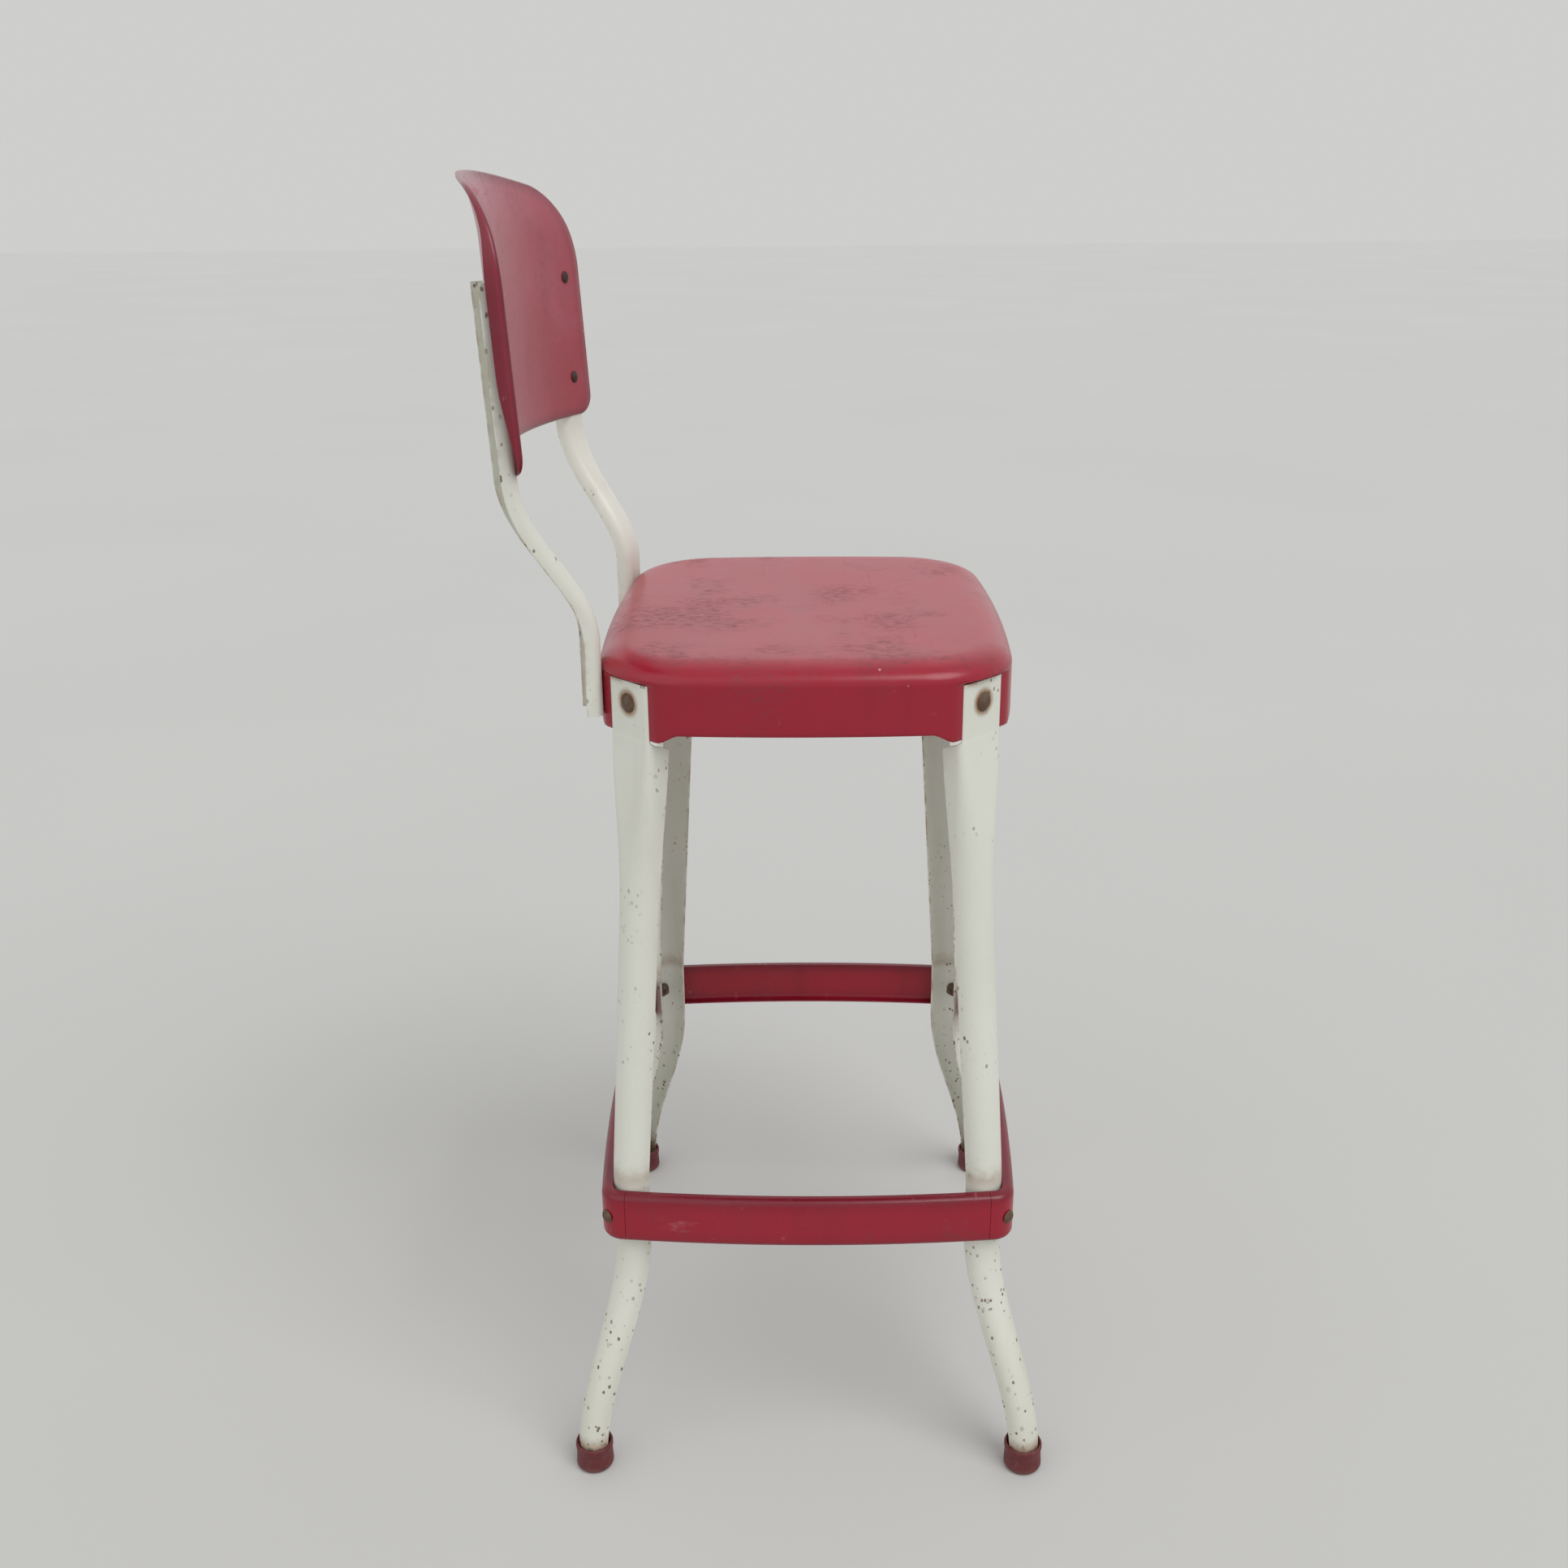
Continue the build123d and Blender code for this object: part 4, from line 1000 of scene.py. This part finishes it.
def red_enamel(name, faded_sheen_top, sheen_veil):
    """Crimson enamel: cloudy colour, on the seat a faded top that also carries painted sheen, on the panel a
    thin pale veil of painted sheen; edges darkened with painted shade; fine scratches, grime, pale nicks and
    few chips at edges."""
    paint = Paint(name)
    height = paint.axis("Z")
    cloud = paint.noise(9.0, 5.0, 0.6)
    fine = paint.noise(75.0, 6.0, 0.65, shift=(3.1, 0.7, 1.9))
    colour = paint.mix(cloud, RED_DEEP, RED_BRIGHT)
    streak = paint.noise(30.0, 3.0, 0.5, stretch=(1.0, 1.0, 0.08), shift=(0.0, 3.0, 1.0))
    colour = paint.mix(paint.step(streak, 0.56, 0.74) * 0.35, colour, RED_STREAK)
    rub_and_sheen_patches = paint.step(paint.noise(12.0, 6.0, 0.62, stretch=(1.0, 1.6, 1.0), warp=0.6), 0.40, 0.72)
    # Seat top: faded paint and painted sheen together, pale pink in patches.
    level = paint.step(height, FADE_SHEEN_LOW, FADE_SHEEN_HIGH) * faded_sheen_top
    fade_and_sheen = level * (0.30 + rub_and_sheen_patches * 0.50)
    colour = paint.mix(fade_and_sheen, colour, RED_FADE_AND_SHEEN)
    # Painted sheen on the panel: a pale veil, patchy and stronger toward the top, standing for reflection on
    # its face.
    panel_sheen = sheen_veil * (0.14 + rub_and_sheen_patches * 0.26 + paint.step(height, PANEL_SHEEN_LOW, PANEL_SHEEN_HIGH) * 0.20)
    colour = paint.mix(panel_sheen, colour, RED_PANEL_SHEEN)
    # Painted shade: edges and the panel's rim are darkened by their mask, except on the seat. The same mask
    # places nicks and chips as wear.
    edge = paint.worn_and_shaded()
    colour = paint.mix(edge * (0.70 - 0.70 * faded_sheen_top), colour, RED_EDGE_SHADE)
    scratch = paint.noise(60.0, 3.0, 0.6, stretch=(0.12, 2.4, 1.0), shift=(0.4, 0.2, 0.0))
    cross = paint.noise(60.0, 3.0, 0.6, stretch=(2.2, 0.15, 1.0), shift=(5.4, 2.2, 0.0))
    scratches = paint.step(scratch, 0.67, 0.72).most(paint.step(cross, 0.68, 0.73))
    scratches = scratches * paint.step(fine, 0.42, 0.62)
    colour = paint.mix(scratches * 0.30, colour, RED_SCRATCH)
    patch = paint.step(paint.noise(16.0, 4.0, 0.6, shift=(1.0, 4.0, 8.0)), 0.47, 0.68)
    smudge = paint.noise(230.0, 6.0, 0.8, stretch=(1.0, 0.6, 1.0), shift=(4.0, 4.0, 8.0))
    grime = patch * paint.step(smudge, 0.40, 0.68) * (0.55 + level * 0.45)
    colour = paint.mix(grime * 0.72, colour, RED_GRIME)
    nick = paint.step(paint.spots(95.0) + fine * 0.22, 0.20, 0.15)
    sparse = paint.step(paint.noise(20.0, 3.0, 0.5, shift=(7.0, 1.0, 4.0)), 0.57, 0.66)
    nick = nick * sparse * (0.45 + edge * 0.55)
    colour = paint.mix(nick * 0.8, colour, PALE_NICK)
    chip = paint.step(edge * 0.34 + paint.noise(85.0, 6.0, 0.7, shift=(2.0, 9.0, 5.0)), 0.98, 1.06)
    colour = paint.mix(chip * 0.8, colour, BARE_CHIP)
    rough = 0.22 + cloud * 0.10 + fade_and_sheen * 0.12 + scratches * 0.2 + chip * 0.35 + grime * 0.25
    peel = paint.noise(420.0, 2.0, 0.5)
    paint.bump(peel * 0.22 + cloud * 0.8 - nick * 0.5 - chip * 0.7, 0.3, 0.0006)
    return paint.finish(colour, rough, Coat_Weight=0.08, Coat_Roughness=0.15, Specular_IOR_Level=0.38)


def cream_enamel(name):
    """Cream enamel on steel: faint clouds, rust specks, more low down, rust round rivets, feet and edges."""
    paint = Paint(name)
    height = paint.axis("Z")
    cloud = paint.noise(11.0, 5.0, 0.6)
    streak = paint.noise(34.0, 5.0, 0.65, stretch=(1.0, 1.0, 0.12), shift=(2.0, 5.0, 0.0))
    colour = paint.mix(cloud, CREAM_DEEP, CREAM_BRIGHT)
    colour = paint.mix(paint.step(streak, 0.52, 0.80) * 0.28, colour, CREAM_STREAK)
    edge = paint.worn_and_shaded()
    fine = paint.noise(160.0, 6.0, 0.7, shift=(3.0, 1.0, 2.0))
    low = paint.step(height, RING_TOP + 0.005, TIP_TOP - 0.001)
    zones = paint.step(paint.noise(13.0, 4.0, 0.6, shift=(9.0, 3.0, 6.0)), 0.48, 0.66)
    dense = low * 0.55 + zones * 0.45 + edge * 0.30
    gate = paint.step(paint.noise(70.0, 2.0, 0.5, shift=(2.0, 8.0, 3.0)), 0.47, 0.57)
    small = paint.spots(230.0, shift=(1.3, 0.2, 4.0), stretch=(1.0, 1.0, 0.7)) + fine * 0.34
    speck = paint.step(small, 0.46, 0.36) * gate * paint.step(dense, 0.00, 0.45)
    large = paint.spots(105.0, shift=(5.3, 1.2, 2.0), stretch=(1.0, 1.0, 0.6)) + fine * 0.40
    speck = speck.most(paint.step(large, 0.38, 0.31) * paint.step(dense, 0.34, 0.80))
    rivet = (TAB_X * MM, TAB_Y * MM, LEG_RIVET_Z * MM)
    halo = paint.close(rivet, 0.0115, 0.0065) * (0.45 + fine * 0.9)
    foot = paint.step(height + fine * 0.016, TIP_TOP + 0.019, TIP_TOP + 0.005)
    above = paint.step(height, RING_TOP, RING_TOP + 0.009)
    above = above * paint.step(height + fine * 0.02, RING_TOP + 0.031, RING_TOP + 0.013)
    rim = edge ** 3.0 * paint.step(paint.noise(55.0, 5.0, 0.65, shift=(8.0, 1.0, 2.0)), 0.40, 0.66)
    stain = halo.most(foot * 0.75).most(above * 0.45).most(rim * 0.7)
    colour = paint.mix(low * 0.20, colour, CREAM_FOOT)
    colour = paint.mix(stain, colour, RUST_STAIN)
    flake = paint.noise(80.0, 6.0, 0.72, shift=(6.0, 2.0, 1.0))
    chip = paint.step(edge * 0.36 + low * 0.06 + flake, 0.96, 1.04)
    crust = foot * paint.step(fine, 0.50, 0.58)
    mark = speck.most(chip).most(crust)
    colour = paint.mix(mark * 0.88, colour, RUST_DARK)
    grime = paint.step(paint.noise(24.0, 6.0, 0.7, shift=(4.0, 4.0, 4.0)), 0.58, 0.82)
    colour = paint.mix(grime * 0.22, colour, CREAM_GRIME)
    rough = 0.30 + cloud * 0.12 + stain * 0.25 + mark * 0.32 + grime * 0.15
    peel = paint.noise(380.0, 2.0, 0.5)
    paint.bump(peel * 0.25 + cloud * 0.7 - mark * 0.8, 0.35, 0.0006)
    return paint.finish(colour, rough, Coat_Weight=0.10, Coat_Roughness=0.2, Specular_IOR_Level=0.5)


def rusty_steel(name, shade):
    """Dull fastener steel, browned over: iron under a patchy crust of rust, darker with a lower shade."""
    paint = Paint(name)
    crust = paint.step(paint.noise(180.0, 6.0, 0.68), 0.36, 0.62)
    grain = paint.noise(700.0, 4.0, 0.6, shift=(1.0, 2.0, 3.0))
    colour = paint.mix(crust, STEEL_BARE, STEEL_RUST)
    colour = paint.mix(grain * 0.45, colour, STEEL_GRAIN)
    colour = paint.mix(1.0 - shade, colour, STEEL_DARK)
    metal = 0.45 - crust * 0.40
    paint.feed(paint.shader.inputs["Metallic"], metal)
    paint.bump(crust * 0.6 + grain * 0.5, 0.5, 0.0005)
    return paint.finish(colour, 0.42 + crust * 0.38)


def red_rubber(name):
    """Dark red rubber gone hard: dusty sides, a scuffed pale foot, fine cracks."""
    paint = Paint(name)
    height = paint.axis("Z")
    cloud = paint.noise(70.0, 5.0, 0.65)
    colour = paint.mix(cloud, RUBBER_DEEP, RUBBER_BRIGHT)
    dust = paint.step(paint.noise(160.0, 6.0, 0.7, shift=(2.0, 2.0, 0.0)), 0.44, 0.78)
    foot = paint.step(height, 0.007, 0.0005)
    colour = paint.mix(dust * 0.30 + foot * 0.25, colour, RUBBER_DUST)
    crack = paint.step(paint.noise(300.0, 4.0, 0.7, stretch=(1.0, 1.0, 0.25)), 0.62, 0.70)
    colour = paint.mix(crack * 0.6, colour, RUBBER_CRACK)
    paint.bump(cloud * 0.5 - crack * 0.7 + dust * 0.3, 0.5, 0.0006)
    return paint.finish(colour, 0.52 + dust * 0.25)


def stage_floor():
    """Wide pale floor that is not part of the stool."""
    paint = Paint("floor_paint")
    colour = paint.mix(paint.noise(0.8, 3.0, 0.5), FLOOR_DEEP, FLOOR_BRIGHT)
    paint.finish(colour, 0.75)
    corners = [(-1, -1, 0), (1, -1, 0), (1, 1, 0), (-1, 1, 0)]
    mesh = bpy.data.meshes.new("floor")
    mesh.from_pydata([(x * FLOOR_HALF, y * FLOOR_HALF, z) for x, y, z in corners], [], [(0, 1, 2, 3)])
    mesh.materials.append(paint.material)
    floor = bpy.data.objects.new("floor", mesh)
    bpy.context.scene.collection.objects.link(floor)


def facing_matrix(place, target):
    """Matrix of a lamp at a place that points at a target."""
    back = unit(np.array(place, dtype=float) - np.array(target, dtype=float))
    right = unit(np.cross((0, 0, 1.0), back))
    up = np.cross(back, right)
    turn = np.column_stack([right, up, back])
    return Matrix.Translation(place) @ Matrix(turn.tolist()).to_4x4()


def stage_light():
    """Pale surroundings, brighter in reflections, with one broad soft light from the front and a fill."""
    world = bpy.data.worlds.new("studio")
    bpy.context.scene.world = world
    world.use_nodes = True
    tree = world.node_tree
    sky = tree.nodes["Background"]
    sky.inputs["Color"].default_value = SKY_COLOUR
    sky.inputs["Strength"].default_value = 0.66
    ray = tree.nodes.new("ShaderNodeLightPath")
    last = sky
    for seen_by, colour in (("Is Glossy Ray", REFLECTED_COLOUR), ("Is Camera Ray", SEEN_COLOUR)):
        wall = tree.nodes.new("ShaderNodeBackground")
        wall.inputs["Color"].default_value = colour
        blend = tree.nodes.new("ShaderNodeMixShader")
        tree.links.new(ray.outputs[seen_by], blend.inputs[0])
        tree.links.new(last.outputs[0], blend.inputs[1])
        tree.links.new(wall.outputs[0], blend.inputs[2])
        last = blend
    tree.links.new(last.outputs[0], tree.nodes["World Output"].inputs["Surface"])
    soft_sun("key", toward=(-0.75, -0.75, 1.5), strength=1.30, spread=38)
    soft_sun("fill", toward=(-0.9, 0.9, 0.9), strength=0.35, spread=60)


def soft_sun(name, toward, strength, spread):
    """Broad light from far away, the same everywhere on the floor."""
    lamp = bpy.data.lights.new(name, "SUN")
    lamp.energy = strength
    lamp.angle = math.radians(spread)
    light = bpy.data.objects.new(name, lamp)
    light.matrix_world = facing_matrix(toward, (0, 0, 0))
    bpy.context.scene.collection.objects.link(light)


def stage_camera():
    """Camera beside the stool, looking along +X and down, turned and tilted a little as the photo is."""
    pitch = math.radians(CAMERA_PITCH)
    yaw = math.radians(CAMERA_YAW)
    roll = math.radians(CAMERA_ROLL)
    camera = bpy.data.cameras.new("camera")
    camera.sensor_width = SENSOR_MM
    camera.lens = SENSOR_MM * LENS_PIXELS / PHOTO_PIXELS
    level = np.array([math.cos(yaw), math.sin(yaw), 0])
    ahead = level * math.cos(pitch) - np.array([0, 0, math.sin(pitch)])
    right = np.array([math.sin(yaw), -math.cos(yaw), 0])
    up = np.cross(right, ahead)
    tilted = right * math.cos(roll) + up * math.sin(roll)
    turn = np.column_stack([tilted, np.cross(tilted, ahead), -ahead])
    place = (CAMERA_X * MM, CAMERA_Y * MM + CENTRE_Y, CAMERA_Z * MM)
    holder = bpy.data.objects.new("camera", camera)
    holder.matrix_world = Matrix.Translation(place) @ Matrix(turn.tolist()).to_4x4()
    bpy.context.scene.collection.objects.link(holder)
    bpy.context.scene.camera = holder


def build_stool():
    """Every piece of the stool, each standing for one node of the solids."""
    # The seat's enamel paints a faded top with painted sheen and the panel's a painted sheen veil. The panel
    # and rails get painted shade on their edges.
    seat_red = red_enamel("seat_red_enamel", 1.0, 0.0)
    panel_red = red_enamel("panel_red_enamel", 0.0, 1.0)
    red = red_enamel("red_enamel", 0.0, 0.0)
    cream = cream_enamel("cream_enamel")
    steel = rusty_steel("rusty_steel", 1.0)
    dark_steel = rusty_steel("dark_rivet_steel", 0.25)
    rubber = red_rubber("red_rubber")
    seat_shell().make("seat", seat_red, "red_enamel", "seat_pan", sharp=50)
    panel_shell().make("panel", panel_red, "red_enamel", "back_panel", sharp=50)
    upright = upright_shell()
    upright.make("upright_left", cream, "cream_enamel", "back_upright_left")
    upright.make("upright_right", cream, "cream_enamel", "back_upright_right", flip=(-1, 1))
    leg = leg_shell()
    tip = tip_shell()
    for name, flip in CORNERS.items():
        leg.make("leg_" + name + "_piece", cream, "cream_enamel", "leg_" + name, flip=flip)
        tip.make("tip_" + name, rubber, "red_rubber", "foot_tip_" + name, flip=flip)
    rear = rear_rail_shell()
    rear.make("rail_rear", red, "red_enamel", "foot_rail_rear")
    rear.make("rail_front", red, "red_enamel", "foot_rail_front", flip=(1, -1))
    side = side_rail_shell()
    side.make("rail_left", red, "red_enamel", "foot_rail_left")
    side.make("rail_right", red, "red_enamel", "foot_rail_right", flip=(-1, 1))
    for node, shell in fastener_shells().items():
        metal = dark_steel if node == "back_rivets" else steel
        shell.make(node + "_turned", metal, "fastener_steel", node)


build_stool()
stage_floor()
stage_light()
stage_camera()
bpy.context.scene.view_settings.view_transform = "Standard"
